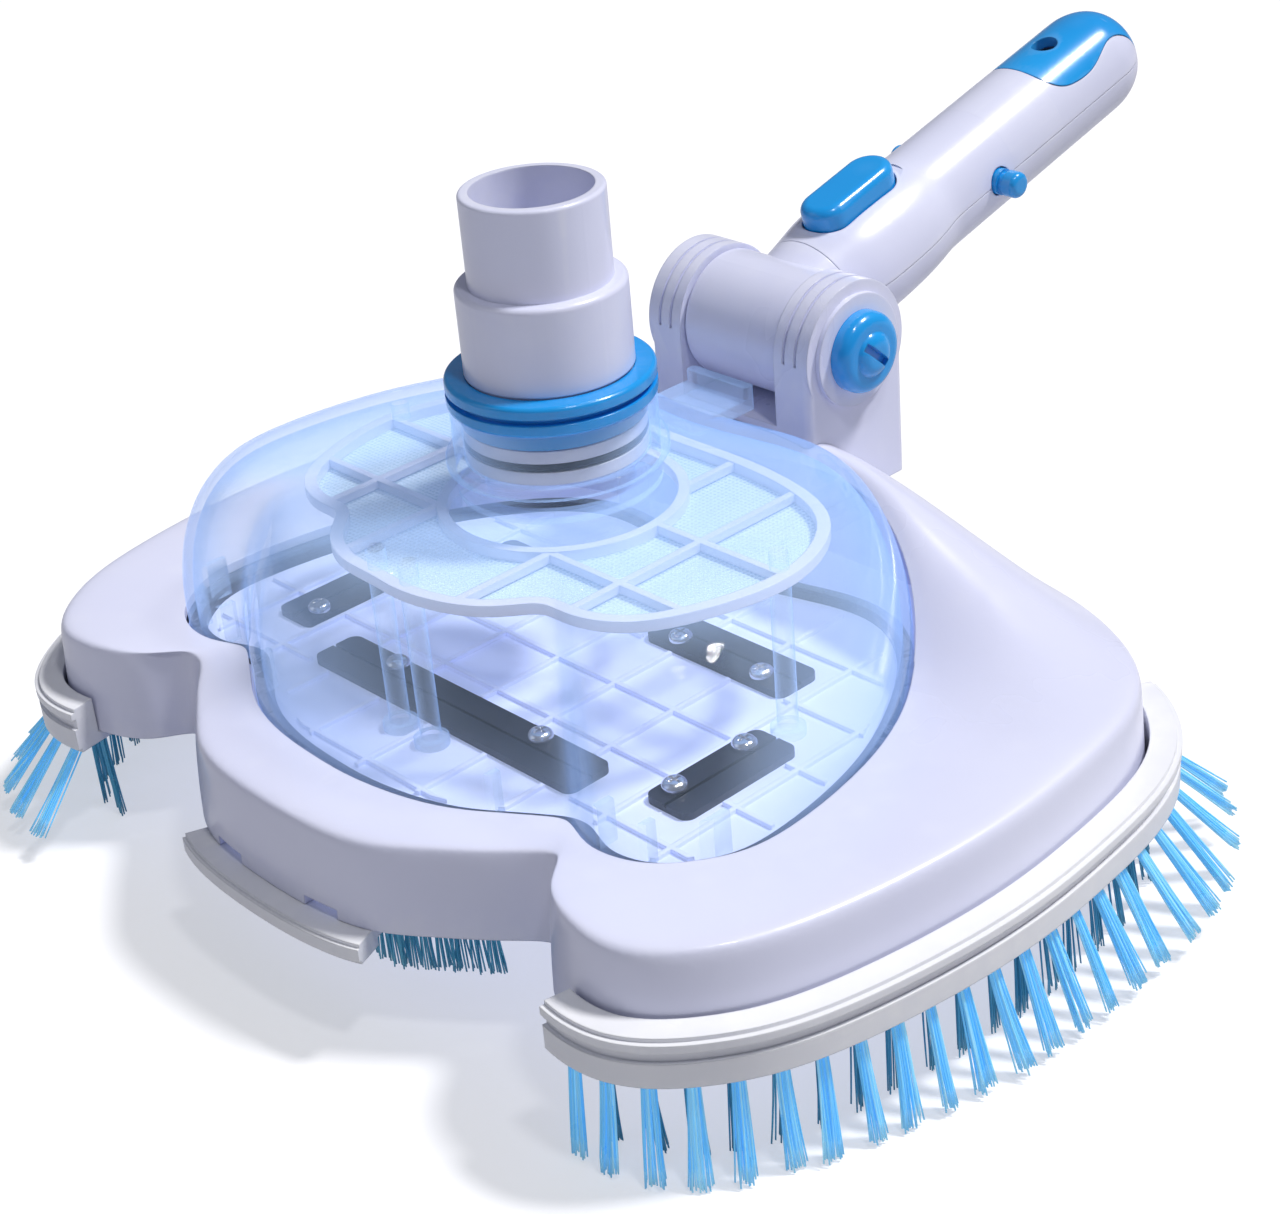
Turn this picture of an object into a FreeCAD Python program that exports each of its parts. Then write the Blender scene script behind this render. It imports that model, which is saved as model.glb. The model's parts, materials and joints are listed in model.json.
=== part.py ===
import FreeCAD, Part
import math
import os

# Manual pool vacuum head: a two-lobed weighted head on brush rows, a clear lift-off dome
# over a filter screen and rubber flap valves, a swivelling stepped hose spigot and a tilting
# snap-in pole handle.  X is the width, -Y the front, +Z up; the bristle tips stand on z = 0
# and the hose spigot turns about the Z axis.  All lengths in millimetres, angles in degrees.

V = FreeCAD.Vector
SKIN_POINTS = 96            # stations round every lobed outline
TINY = 0.001

# ---- heights of the main levels above the floor
BUMPER_BOTTOM_Z = 25.2
BUMPER_HEIGHT = 12.0
BODY_BOTTOM_Z = 28.0
BODY_SHOULDER_Z = 48.5
WING_LIFT = 3.0             # wings stand this much higher than the front lobe
DOME_SEAT_Z = 50.0
CHAMBER_FLOOR_Z = 45.0
DOME_TOP_Z = 93.5
SCREEN_Z = 83.0
NECK_FLANGE_Z = 95.5
NECK_TOP_Z = 110.0

# ---- plan of the head
LOBE_FRONT_Y = 92.0         # reach of the front lobe
NOTCH_X = 63.0              # waist between front lobe and wing
NOTCH_Y = 66.0
WING_FRONT_Y = 81.5
WING_HALF_WIDTH = 128.0
WING_REAR_Y = 64.0
BODY_REAR_Y = 96.0
DOME_FRONT_Y = 73.0
DOME_NOTCH_X = 56.0
DOME_NOTCH_Y = 54.5
DOME_HALF_WIDTH = 93.5
DOME_REAR_Y = 50.0

# ---- walls and clearances
BODY_WALL = 2.6
DOME_WALL = 2.4
PLATE_WALL = 2.5
FIT_GAP = 0.15              # between pieces of one assembly
DOME_GAP = 0.6              # round the dome where it stands in the body
RIM_GAP = 1.0               # round the base plate inside the body wall
RUN_GAP = 0.4               # between pieces that move past each other
HUMP_HEIGHT = 38.0          # rise of the rear flank under the pivot bracket
HUMP_SPREAD = 80.0

# ---- bumpers and brushes
BUMPER_WIDTH = 7.0
BUMPER_FOOT = 7.0           # how far the bumper reaches under the body wall
FRONT_BUMPER_HALF = 32.0
OUTER_TUFTS = 23
INNER_TUFTS = 20
FRONT_TUFTS = 26
OUTER_SPLAY = (3.0, 52.0)   # lean of the outer row at its front and rear ends
WORN_SPLAY = (42.0, 50.0)   # the left row has been pressed outwards in use
INNER_SPLAY = (0.0, 12.0)
TUFT_ROOT = (2.6, 1.4)
TUFT_TIP = (3.8, 1.5)
TUFT_GRIP = 2.0             # depth of each tuft in its bumper
FRONT_TUFT_LENGTH = 14.0
FRONT_BRUSH_HALF = 54.0

# ---- chamber fittings
FLAP_THICKNESS = 1.8
FLAP_SCREW_HEAD_R = 3.0
FLAP_SCREW_HEAD_H = 2.2
FLAP_SCREW_R = 1.5
RIB_PITCH = 19.0
RIB_WIDTH = 1.2
RIB_HEIGHT = 1.0

# ---- hose spigot and neck
SPIGOT_SMALL_R = 16.0       # 32 mm hose
SPIGOT_LARGE_R = 19.0       # 38 mm hose
SPIGOT_WAIST_R = 18.5       # turns inside the retaining ring
SPIGOT_BORE_R = 13.6
SPIGOT_SMALL_LENGTH = 20.5
SPIGOT_LARGE_LENGTH = 20.5
SPIGOT_FLANGE_R = 20.6
NECK_BORE_R = 21.0
NECK_R = 23.2
NECK_FLANGE_R = 25.2
RING_R = 23.6
RING_TOP_Z = 117.0
SEAL_R = 1.0
SPIGOT_FLANGE_H = 8.0
RING_SKIRT = 4.0            # skirt of the retaining ring inside the neck
NECK_LEDGE_R = 17.0
SPIGOT_FOOT_Z = NECK_TOP_Z + 0.02 - RING_SKIRT - RUN_GAP - SPIGOT_FLANGE_H
SEAL_CENTRE_R = NECK_BORE_R - 0.3 - SEAL_R

# ---- pivot bracket
PIVOT_Y = 70.5
PIVOT_Z = 103.0
EAR_R = 16.5
EAR_OUTER_X = 26.0
KNUCKLE_HALF = 15.0
KNUCKLE_R = 15.4
PIVOT_PIN_R = 5.0
PIVOT_RUN_FIT = 0.08
BRACKET_SEAT_Z = 66.0
PIVOT_KNOB_R = 9.8
PIVOT_KNOB_H = 4.6
EAR_DISC_R = 13.6
EAR_DISC_H = 1.3

# ---- handle
HANDLE_TILT = 15.0
HANDLE_LENGTH = 138.0
TUBE_R = 14.0               # slides into a telescopic pole
TUBE_START = 56.0
BULGE_HALF_WIDTH = 16.6
BULGE_TOP = 15.6
HANDLE_WALL = 2.8
HOLLOW_START = 16.2
ROOT_END = 14.5             # solid root of the handle on its hinge knuckle
NOSE_LENGTH = 12.0
STEM_START = 77.0           # true round part of the stem
STEM_END = 97.0
# Edge of the end cap seen from the side: a tongue on top, an arch, then down round the nose.
CAP_PROFILE = ((97.5, 16.0), (98.7, 12.2), (102.0, 8.8), (107.5, 7.2), (114.0, 7.2),
               (120.0, 8.8), (125.5, 9.6), (130.5, 7.0), (133.6, 1.0), (134.6, -6.0),
               (134.8, -18.0))
CAP_HOLE_Y = 111.0
CAP_HOLE_R = 3.4
BUTTON_Y = 33.0
BUTTON_LENGTH = 28.0
BUTTON_WIDTH = 12.5
BUTTON_TRAVEL = 3.0
SNAP_Y = 71.0
SNAP_R = 3.3
SNAP_REACH = 20.5
SNAP_TRAVEL = 7.0


# ---------------------------------------------------------------- helpers
def box(x0, x1, y0, y1, z0, z1):
    return Part.makeBox(x1 - x0, y1 - y0, z1 - z0, V(x0, y0, z0))


def rod(radius, height, base, axis=V(0, 0, 1)):
    return Part.makeCylinder(radius, height, base, axis)


def tube(outer, inner, height, base, axis=V(0, 0, 1)):
    return rod(outer, height, base, axis).cut(rod(inner, height, base, axis))


def slab(half_x, y0, y1, z0, z1, radius):
    """Upright block, symmetric in X, with rounded vertical corners."""
    block = box(-half_x, half_x, y0, y1, z0, z1)
    upright = [e for e in block.Edges if abs(e.tangentAt(e.FirstParameter).z) > 0.9]
    return block.makeFillet(radius, upright)


def stadium(length, width, height, base):
    """Upright oval block whose long axis is Y."""
    straight = length - width
    half = width / 2
    block = box(base.x - half, base.x + half, base.y - straight / 2, base.y + straight / 2,
                base.z, base.z + height)
    for end in (-1, 1):
        block = block.fuse(rod(half, height, base + V(0, end * straight / 2, 0)))
    return block.removeSplitter()


def fuse_all(shapes):
    return shapes[0].multiFuse(shapes[1:]) if len(shapes) > 1 else shapes[0]


def mirrored(shape):
    return shape.mirror(V(0, 0, 0), V(1, 0, 0))


def save(name, shape):
    shape.exportStep("parts/" + name + ".step")


def smoothstep(low, high, value):
    t = min(max((value - low) / (high - low), 0.0), 1.0)
    return t * t * (3 - 2 * t)


# ---------------------------------------------------------------- lobed outlines
def body_stations():
    """Right half of the body plan from the front centre round to the rear centre."""
    wing, lobe = WING_HALF_WIDTH, LOBE_FRONT_Y
    return [(0, -lobe), (0.28 * NOTCH_X, -lobe + 0.9), (0.5 * NOTCH_X, -lobe + 4.4),
            (0.68 * NOTCH_X, -lobe + 11.5), (0.85 * NOTCH_X, -NOTCH_Y - 6.8),
            (NOTCH_X, -NOTCH_Y), (NOTCH_X + 6, -NOTCH_Y - 4.5),
            (NOTCH_X + 13.5, -WING_FRONT_Y + 3.2), (0.75 * wing, -WING_FRONT_Y),
            (0.87 * wing, -0.86 * WING_FRONT_Y), (0.95 * wing, -0.6 * WING_FRONT_Y),
            (wing, -0.12 * WING_FRONT_Y), (0.99 * wing, 0.42 * WING_REAR_Y),
            (0.9 * wing, WING_REAR_Y), (0.56 * wing, 0.9 * BODY_REAR_Y), (0, BODY_REAR_Y)]


def dome_stations():
    """Right half of the dome plan, station for station with the body plan."""
    wide, front, rear = DOME_HALF_WIDTH, DOME_FRONT_Y, DOME_REAR_Y
    notch_x, notch_y = DOME_NOTCH_X, DOME_NOTCH_Y
    return [(0, -front), (0.32 * notch_x, -front + 1.3), (0.59 * notch_x, -front + 5.5),
            (0.78 * notch_x, -front + 11.5), (0.91 * notch_x, -notch_y - 2.4),
            (notch_x, -notch_y), (notch_x + 5, -notch_y - 1),
            (0.74 * wide, -0.79 * front), (0.86 * wide, -0.75 * front),
            (0.95 * wide, -0.63 * front), (wide, -0.44 * front), (0.975 * wide, -0.1 * front),
            (0.89 * wide, 0.34 * rear), (0.71 * wide, 0.86 * rear), (0.42 * wide, 1.13 * rear),
            (0, rear)]


def screen_stations():
    """Right half of the scalloped filter frame."""
    return [(0, -52.5), (14.5, -51.5), (26, -46.5), (32.5, -40), (37, -37.5), (44.5, -37),
            (55, -32), (63, -19.5), (67.5, -2), (65.5, 13.5), (57, 27), (41.5, 35),
            (20.5, 38), (0, 38)]


def ring_of(half):
    """Full closed plan from its right half."""
    return half + [(-x, y) for x, y in reversed(half[1:-1])]


def outline(half, offset=0.0):
    """Evenly stepped plan points of a smooth closed outline moved outwards by offset."""
    points = [V(x, y, 0) for x, y in ring_of(half)]
    count = len(points)
    curve = Part.BSplineCurve()
    curve.interpolate(Points=points, PeriodicFlag=True,
                      Parameters=[float(i) for i in range(count + 1)])
    result = []
    for i in range(SKIN_POINTS):
        at = count * i / SKIN_POINTS
        tangent = curve.tangent(at)[0]
        result.append(curve.value(at) + V(tangent.y, -tangent.x, 0) * offset)
    return result


def mix(first, second, share):
    return [a + (b - a) * share for a, b in zip(first, second)]


def lift(points, z):
    return [V(p.x, p.y, z) for p in points]


def closed_curve(points):
    curve = Part.BSplineCurve()
    curve.interpolate(Points=points, PeriodicFlag=True)
    return curve.toShape()


def plate(points, z0, z1):
    """Flat plate with a smooth closed plan."""
    face = Part.Face(Part.Wire([closed_curve(lift(points, z0))]))
    return face.extrude(V(0, 0, z1 - z0))


def skin(rows):
    """Solid under one smooth surface through a stack of closed rows; flat at both ends."""
    count = len(rows)
    v_knots = [float(i) for i in range(count - 2)]
    v_mults = [4] + [1] * (count - 4) + [4]
    u_knots = [float(i) for i in range(SKIN_POINTS + 1)]
    u_mults = [1] * (SKIN_POINTS + 1)
    poles = [[row[i] for row in rows] for i in range(SKIN_POINTS)]
    surface = Part.BSplineSurface()
    surface.buildFromPolesMultsKnots(poles, u_mults, v_mults, u_knots, v_knots, True, False, 3, 3)
    side = surface.toShape()
    caps = []
    for edge in side.Edges:
        box_of = edge.BoundBox
        if edge.isClosed() and box_of.ZLength < TINY * 10:
            caps.append(Part.Face(Part.Wire([edge])))
    closed = Part.makeCompound([side] + caps)
    closed.sewShape()
    return Part.Solid(closed.Shells[0])


# ---------------------------------------------------------------- head skins
def hump(point):
    """Rise of the rear flank that carries the pivot bracket."""
    climb = smoothstep(22, 58, point.y)
    fall = 1 - 0.6 * smoothstep(52, 88, point.y)
    return HUMP_HEIGHT * climb * fall * math.exp(-abs(point.x / HUMP_SPREAD) ** 3)


def wing_lift(point):
    return WING_LIFT * smoothstep(55, 85, abs(point.x))


def head_skin(inset, bottom_z):
    """Outer form of the body moved inwards by inset."""
    edge = outline(body_stations(), -inset)
    seat = outline(dome_stations(), -inset)
    rows = []
    wall_top = BODY_SHOULDER_Z - BODY_BOTTOM_Z
    for rise, pull, lifted in ((0, 0, 0), (6, 0.2, 0), (12, 0.7, 0.3), (wall_top - 3, 1.2, 1),
                               (wall_top, 1.8, 1)):
        row = outline(body_stations(), -inset - pull)
        z = BODY_BOTTOM_Z + rise - (inset if lifted == 1 else 0) if rise else bottom_z
        rows.append([V(p.x, p.y, z + lifted * wing_lift(p)) for p in row])
    for share, lift_share, weight in ((0.16, 0.5, 0.3), (0.38, 0.7, 0.85), (0.65, 0.85, 1.0),
                                      (0.9, 0.95, 1.0), (1.05, 1.0, 1.0)):
        base = BODY_SHOULDER_Z + (DOME_SEAT_Z - BODY_SHOULDER_Z) * lift_share - inset
        row = mix(edge, seat, share)
        rows.append([V(p.x, p.y, base + weight * hump(p) + (1 - share * 0.9) * wing_lift(p))
                     for p in row])
    inner = [p * 0.8 for p in seat]
    rows.append([V(p.x, p.y, DOME_SEAT_Z - inset + 0.6 * hump(p)) for p in inner])
    rows.append(lift([p * 0.62 for p in seat], DOME_SEAT_Z - inset))
    rows.append(lift([p * 0.5 for p in seat], DOME_SEAT_Z - inset))
    return skin(rows)


def dome_skin(inset, bottom_z, top_drop):
    """Outer form of the dome moved inwards by inset."""
    base = outline(dome_stations(), -inset)
    crown = [p * ((NECK_R - inset) / p.Length) for p in base]
    rows = [lift(base, bottom_z)]
    tall = DOME_TOP_Z - DOME_SEAT_Z
    for share, height in ((0, 0.0), (0.0, 0.14), (0.01, 0.3), (0.035, 0.47), (0.08, 0.65),
                          (0.145, 0.81), (0.24, 0.93), (0.38, 0.985), (0.65, 1.0), (1.0, 1.0)):
        z = DOME_SEAT_Z + tall * height - top_drop * smoothstep(0, 0.3, share)
        rows.append(lift(mix(base, crown, share), z))
    return skin(rows)


# ---------------------------------------------------------------- body and base
def pocket_for_bracket(gap):
    width = EAR_OUTER_X + gap
    return slab(width, PIVOT_Y - EAR_R - gap, PIVOT_Y + EAR_R + gap,
                BRACKET_SEAT_Z - gap, PIVOT_Z, 2.0)


def clip_slot(side):
    return box(side * 16.5 - 5, side * 16.5 + 5, -LOBE_FRONT_Y - 2, -LOBE_FRONT_Y + 8,
               BODY_BOTTOM_Z - 1, BODY_BOTTOM_Z + 2.4)


def upper_body():
    outer = head_skin(0.0, BODY_BOTTOM_Z)
    hollow = head_skin(BODY_WALL, BODY_BOTTOM_Z - 1)
    shell = outer.cut(hollow)
    seat = slab(EAR_OUTER_X + 4, PIVOT_Y - EAR_R - 2, PIVOT_Y + EAR_R + 5,
                BRACKET_SEAT_Z - 4, BRACKET_SEAT_Z, 3.0).common(outer)
    shell = shell.fuse(seat)
    shell = shell.cut(pocket_for_bracket(FIT_GAP))
    shell = shell.cut(plate(outline(dome_stations(), DOME_GAP),
                            CHAMBER_FLOOR_Z - 1, DOME_SEAT_Z + 4))
    shell = shell.cut(dome_skin(-DOME_GAP, DOME_SEAT_Z + 2, 0.0))
    for side in (-1, 1):
        shell = shell.cut(clip_slot(side))
        shell = shell.cut(rod(2.2, 8, V(side * 16, PIVOT_Y, BRACKET_SEAT_Z - 6)))
    return shell


def flap_layout():
    """Each flap: name, centre x, centre y, length x, width y and its screw positions."""
    return [("flap_front", 0, -37.5, 90, 13, [(-25, -34), (25, -34)]),
            ("flap_right", 65, -18, 13, 34, [(62, -29), (62, -8)]),
            ("flap_left", -65, -18, 13, 34, [(-62, -29), (-62, -8)]),
            ("flap_rear_right", 31, 19, 44, 13, [(18, 16), (44, 16)]),
            ("flap_rear_left", -31, 19, 44, 13, [(-18, 16), (-44, 16)])]


def flap_box(flap, margin, z0, z1):
    name, cx, cy, lx, ly, screws = flap
    return box(cx - lx / 2 - margin, cx + lx / 2 + margin,
               cy - ly / 2 - margin, cy + ly / 2 + margin, z0, z1)


def inlet_box(flap):
    """Suction slot under a flap, clear of its screw line."""
    name, cx, cy, lx, ly, screws = flap
    z0, z1 = CHAMBER_FLOOR_Z - PLATE_WALL - 1, CHAMBER_FLOOR_Z + 1
    if lx > ly:
        low = cy - ly / 2 + 1.5 if cy < 0 else cy + 1.2
        high = cy - 1.2 if cy < 0 else cy + ly / 2 - 1.5
        return box(cx - lx / 2 + 4, cx + lx / 2 - 4, low, high, z0, z1)
    side = math.copysign(1, cx)
    near, far = sorted((cx + side * 1.2, cx + side * (lx / 2 - 1.5)))
    return box(near, far, cy - ly / 2 + 4, cy + ly / 2 - 4, z0, z1)


def chamber_ribs(room):
    ribs = []
    z0, z1 = CHAMBER_FLOOR_Z - 0.5, CHAMBER_FLOOR_Z + RIB_HEIGHT
    for step in range(-5, 6):
        at = step * RIB_PITCH
        half = RIB_WIDTH / 2
        ribs.append(box(at - half, at + half, -90, 70, z0, z1))
        ribs.append(box(-110, 110, at - 6 - half, at - 6 + half, z0, z1))
    grid = fuse_all(ribs).common(room)
    for flap in flap_layout():
        grid = grid.cut(flap_box(flap, 1.0, z0, z1 + 1))
    return grid


def base_plate():
    rim = plate(outline(body_stations(), -BODY_WALL - RIM_GAP),
                BODY_BOTTOM_Z, BODY_BOTTOM_Z + PLATE_WALL)
    wall_plan = outline(dome_stations(), 1.0)
    room_plan = outline(dome_stations(), 1.0 - PLATE_WALL)
    tower = plate(wall_plan, BODY_BOTTOM_Z, CHAMBER_FLOOR_Z)
    hollow = plate(room_plan, BODY_BOTTOM_Z - 1, CHAMBER_FLOOR_Z - PLATE_WALL)
    shape = rim.fuse(tower).cut(hollow)
    shape = shape.fuse(chamber_ribs(plate(outline(dome_stations(), -7), CHAMBER_FLOOR_Z - 1,
                                          CHAMBER_FLOOR_Z + 5)))
    for flap in flap_layout():
        shape = shape.cut(inlet_box(flap))
        for x, y in flap[5]:
            shape = shape.cut(rod(FLAP_SCREW_R + 0.05, 5, V(x, y, CHAMBER_FLOOR_Z - 4)))
    for x, y in body_screw_points():
        shape = shape.cut(rod(2.0, PLATE_WALL + 2, V(x, y, BODY_BOTTOM_Z - 1)))
    return shape.removeSplitter()


def dome_gasket():
    z0, z1 = CHAMBER_FLOOR_Z, CHAMBER_FLOOR_Z + 2
    outer = plate(outline(dome_stations(), -0.2), z0, z1)
    return outer.cut(plate(outline(dome_stations(), -4.2), z0 - 1, z1 + 1))


def ballast(side):
    """Cast block in the hollow of one wing."""
    plan = outline(body_stations(), -BODY_WALL - 4.5)
    shape = plate(plan, BODY_BOTTOM_Z + PLATE_WALL, CHAMBER_FLOOR_Z + 1)
    shape = shape.cut(plate(outline(dome_stations(), 3.0), 0, 100))
    return shape.common(box(*sorted((side * 94, side * 140)), -42, 34, 0, 100))


def body_screw_points():
    return [(side * x, y) for side in (-1, 1) for x, y in ((105, -56), (106, 46), (60, 74))]


def body_screws():
    screws = []
    for x, y in body_screw_points():
        head = rod(3.6, 1.6, V(x, y, BODY_BOTTOM_Z - 1.6))
        shank = rod(1.8, PLATE_WALL + 9, V(x, y, BODY_BOTTOM_Z - TINY))
        slot = box(x - 4, x + 4, y - 0.5, y + 0.5, BODY_BOTTOM_Z - 2, BODY_BOTTOM_Z - 0.9)
        screws.append(head.fuse(shank).cut(slot))
    return Part.makeCompound(screws)


def screw_bosses():
    """Hanging bosses that take the base screws."""
    bosses = []
    for x, y in body_screw_points():
        z0 = BODY_BOTTOM_Z + PLATE_WALL + FIT_GAP
        bosses.append(tube(4.0, 1.9, DOME_SEAT_Z - z0, V(x, y, z0)))
    return bosses


# ---------------------------------------------------------------- flaps
def flap(entry):
    name, cx, cy, lx, ly, screws = entry
    z0 = CHAMBER_FLOOR_Z + 0.02
    shape = flap_box(entry, 0, z0, z0 + FLAP_THICKNESS)
    upright = [e for e in shape.Edges if abs(e.tangentAt(e.FirstParameter).z) > 0.9]
    shape = shape.makeFillet(2.5, upright)
    if lx > ly:
        groove = box(cx - lx, cx + lx, cy - 0.4, cy + 0.4, z0 + FLAP_THICKNESS - 0.7, z0 + 5)
    else:
        groove = box(cx - 0.4, cx + 0.4, cy - ly, cy + ly, z0 + FLAP_THICKNESS - 0.7, z0 + 5)
    shape = shape.cut(groove)
    for x, y in screws:
        shape = shape.cut(rod(FLAP_SCREW_R + 0.05, 6, V(x, y, z0 - 2)))
    return shape


def flap_screws():
    screws = []
    for entry in flap_layout():
        for x, y in entry[5]:
            seat = CHAMBER_FLOOR_Z + 0.04 + FLAP_THICKNESS
            head = rod(FLAP_SCREW_HEAD_R, FLAP_SCREW_HEAD_H, V(x, y, seat))
            top = [e for e in head.Edges if abs(e.BoundBox.ZMin - seat - FLAP_SCREW_HEAD_H) < TINY
                   and e.BoundBox.ZLength < TINY]
            head = head.makeFillet(FLAP_SCREW_HEAD_H * 0.8, top)
            drive = box(x - 1.7, x + 1.7, y - 0.35, y + 0.35, seat + 1.4, seat + 5)
            cross = box(x - 0.35, x + 0.35, y - 1.7, y + 1.7, seat + 1.4, seat + 5)
            shank = rod(FLAP_SCREW_R, FLAP_THICKNESS + 4, V(x, y, CHAMBER_FLOOR_Z - 3.9))
            screws.append(head.cut(drive).cut(cross).fuse(shank))
    return Part.makeCompound(screws)


# ---------------------------------------------------------------- dome, screen, neck
def dome_cover():
    outer = dome_skin(0.0, CHAMBER_FLOOR_Z + 2, 0.0)
    hollow = dome_skin(DOME_WALL, CHAMBER_FLOOR_Z + 1, DOME_WALL)
    neck = rod(NECK_R, NECK_TOP_Z - DOME_TOP_Z + 4, V(0, 0, DOME_TOP_Z - 4))
    flange = rod(NECK_FLANGE_R, 3.0, V(0, 0, NECK_FLANGE_Z))
    rim = [e for e in flange.Edges if e.BoundBox.ZLength < TINY]
    flange = flange.makeFillet(0.8, rim)
    posts = [rod(2.2, DOME_TOP_Z - SCREEN_Z - 4, V(x, y, SCREEN_Z + 2.6 + 0.02))
             for x, y in post_points()]
    ribs = dome_ribs(outer)
    tab = latch_tab()
    shape = outer.cut(hollow).multiFuse([neck, flange, tab] + posts + ribs)
    shape = shape.cut(rod(NECK_BORE_R, 40, V(0, 0, SPIGOT_FOOT_Z - RUN_GAP)))
    return shape.cut(rod(NECK_LEDGE_R, 40, V(0, 0, DOME_TOP_Z - 20)))


def post_points():
    return [(side * 63.5, 4) for side in (-1, 1)] + [(side * 5.5, -49) for side in (-1, 1)]


def dome_ribs(limit):
    """Upright stiffening ribs inside the front skirt."""
    ribs = []
    for x, y in ((78, -50), (87, -38), (66, -50), (40, -58)):
        for side in (-1, 1):
            post = box(side * x - 0.8, side * x + 0.8, y - 12, y, CHAMBER_FLOOR_Z + 2,
                       DOME_SEAT_Z + 7)
            ribs.append(post.common(limit))
    return ribs


def latch_tab():
    """Finger tab that hooks the dome under the pivot bracket."""
    rear = PIVOT_Y - EAR_R - 1.2
    top = DOME_TOP_Z - 0.5
    body = slab(10, DOME_REAR_Y - 17, rear, top - 3, top, 2.0)
    lip = slab(10, rear - 3, rear, top - 3, top + 3, 1.0)
    return body.fuse(lip)


def filter_frame():
    half = screen_stations()
    z0, z1 = SCREEN_Z, SCREEN_Z + 2.6
    band = plate(outline(half), z0, z1).cut(plate(outline(half, -3.0), z0 - 1, z1 + 1))
    room = plate(outline(half, -1.0), z0, z1)
    ribs = []
    for x in (-41, -19, 19, 41):
        ribs.append(box(x - 0.9, x + 0.9, -60, 60, z0 + 0.4, z1 - 0.2))
    for y in (-21, 3):
        ribs.append(box(-80, 80, y - 0.9, y + 0.9, z0 + 0.4, z1 - 0.2))
    grid = fuse_all(ribs).common(room)
    ring = rod(NECK_FLANGE_R + 3.5, z1 - z0, V(0, 0, z0))
    shape = band.multiFuse([grid, ring])
    return shape.cut(rod(NECK_FLANGE_R + 1, 20, V(0, 0, z0 - 5))).removeSplitter()


def filter_mesh():
    z1 = SCREEN_Z - 0.02
    sheet = plate(outline(screen_stations(), -0.8), z1 - 0.5, z1)
    return sheet.cut(rod(NECK_FLANGE_R + 1.5, 5, V(0, 0, z1 - 2)))


def screen_pillars():
    """Four clear pillars that carry the filter frame above the chamber floor."""
    z0 = CHAMBER_FLOOR_Z + 0.02
    z1 = SCREEN_Z - 0.54
    pillars = []
    for x, y in post_points():
        pillar = rod(2.4, z1 - z0, V(x, y, z0)).fuse(rod(4.0, 2, V(x, y, z0)))
        pillars.append(pillar)
    return Part.makeCompound(pillars)


def retaining_ring():
    z0 = NECK_TOP_Z + 0.02
    ring = rod(RING_R, RING_TOP_Z - z0, V(0, 0, z0))
    groove = tube(RING_R + 1, RING_R - 1.6, 1.5, V(0, 0, z0 + 2.8))
    edges = [e for e in ring.Edges if e.BoundBox.ZLength < TINY]
    ring = ring.makeFillet(1.0, edges).cut(groove)
    skirt = tube(NECK_BORE_R - 0.1, SPIGOT_WAIST_R + RUN_GAP, RING_SKIRT,
                 V(0, 0, z0 - RING_SKIRT))
    return ring.fuse(skirt).cut(rod(SPIGOT_WAIST_R + RUN_GAP, 40, V(0, 0, z0 - 10)))


def hose_spigot():
    large_top = RING_TOP_Z + SPIGOT_LARGE_LENGTH
    top = large_top + SPIGOT_SMALL_LENGTH
    flange_bottom = SPIGOT_FOOT_Z
    sleeve_z = RING_TOP_Z + RUN_GAP
    large = rod(SPIGOT_LARGE_R, large_top - sleeve_z, V(0, 0, sleeve_z))
    lip = [e for e in large.Edges if e.BoundBox.ZMin > large_top - TINY]
    large = large.makeFillet(1.2, lip)
    small = rod(SPIGOT_SMALL_R, top - large_top + 5, V(0, 0, large_top - 5))
    mouth = [e for e in small.Edges if e.BoundBox.ZMin > top - TINY]
    small = small.makeFillet(0.8, mouth)
    waist = rod(SPIGOT_WAIST_R, sleeve_z - flange_bottom + 1, V(0, 0, flange_bottom))
    flange = rod(SPIGOT_FLANGE_R, SPIGOT_FLANGE_H, V(0, 0, flange_bottom))
    seat_z = flange_bottom + 4 - SEAL_R - 0.05
    seat = tube(SPIGOT_FLANGE_R + 1, SEAL_CENTRE_R - SEAL_R - 0.05, 2 * SEAL_R + 0.1,
                V(0, 0, seat_z))
    body = large.multiFuse([small, waist, flange]).cut(seat)
    return body.cut(rod(SPIGOT_BORE_R, top - flange_bottom + 2, V(0, 0, flange_bottom - 1)))


def spigot_seal():
    return Part.makeTorus(SEAL_CENTRE_R, SEAL_R, V(0, 0, SPIGOT_FOOT_Z + 4))


# ---------------------------------------------------------------- bumpers and bristles
def strip(indices, inner, outer, z0, z1):
    """Band along a stretch of the body plan, between two distances outside it."""
    sides = []
    for offset in (inner, outer):
        points = outline(body_stations(), offset)
        curve = Part.BSplineCurve()
        curve.interpolate([V(points[i % SKIN_POINTS].x, points[i % SKIN_POINTS].y, z0)
                           for i in indices])
        sides.append(curve.toShape())
    starts = [side.valueAt(side.FirstParameter) for side in sides]
    ends = [side.valueAt(side.LastParameter) for side in sides]
    loop = [sides[0], Part.makeLine(ends[0], ends[1]), sides[1],
            Part.makeLine(starts[1], starts[0])]
    face = Part.Face(Part.Wire(Part.__sortEdges__(loop)))
    return face.extrude(V(0, 0, z1 - z0))


def wing_indices():
    """Outline steps under the right bumper, front end first."""
    points = outline(body_stations())
    return [i for i in range(SKIN_POINTS // 2)
            if points[i].x > 0.63 * WING_HALF_WIDTH and points[i].y < WING_REAR_Y + 17]


def lobe_indices(half_width):
    """Outline steps across the front lobe, left to right."""
    points = outline(body_stations())
    reach = max(i for i in range(SKIN_POINTS // 4) if points[i].x <= half_width)
    return list(range(-reach, reach + 1))


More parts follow.
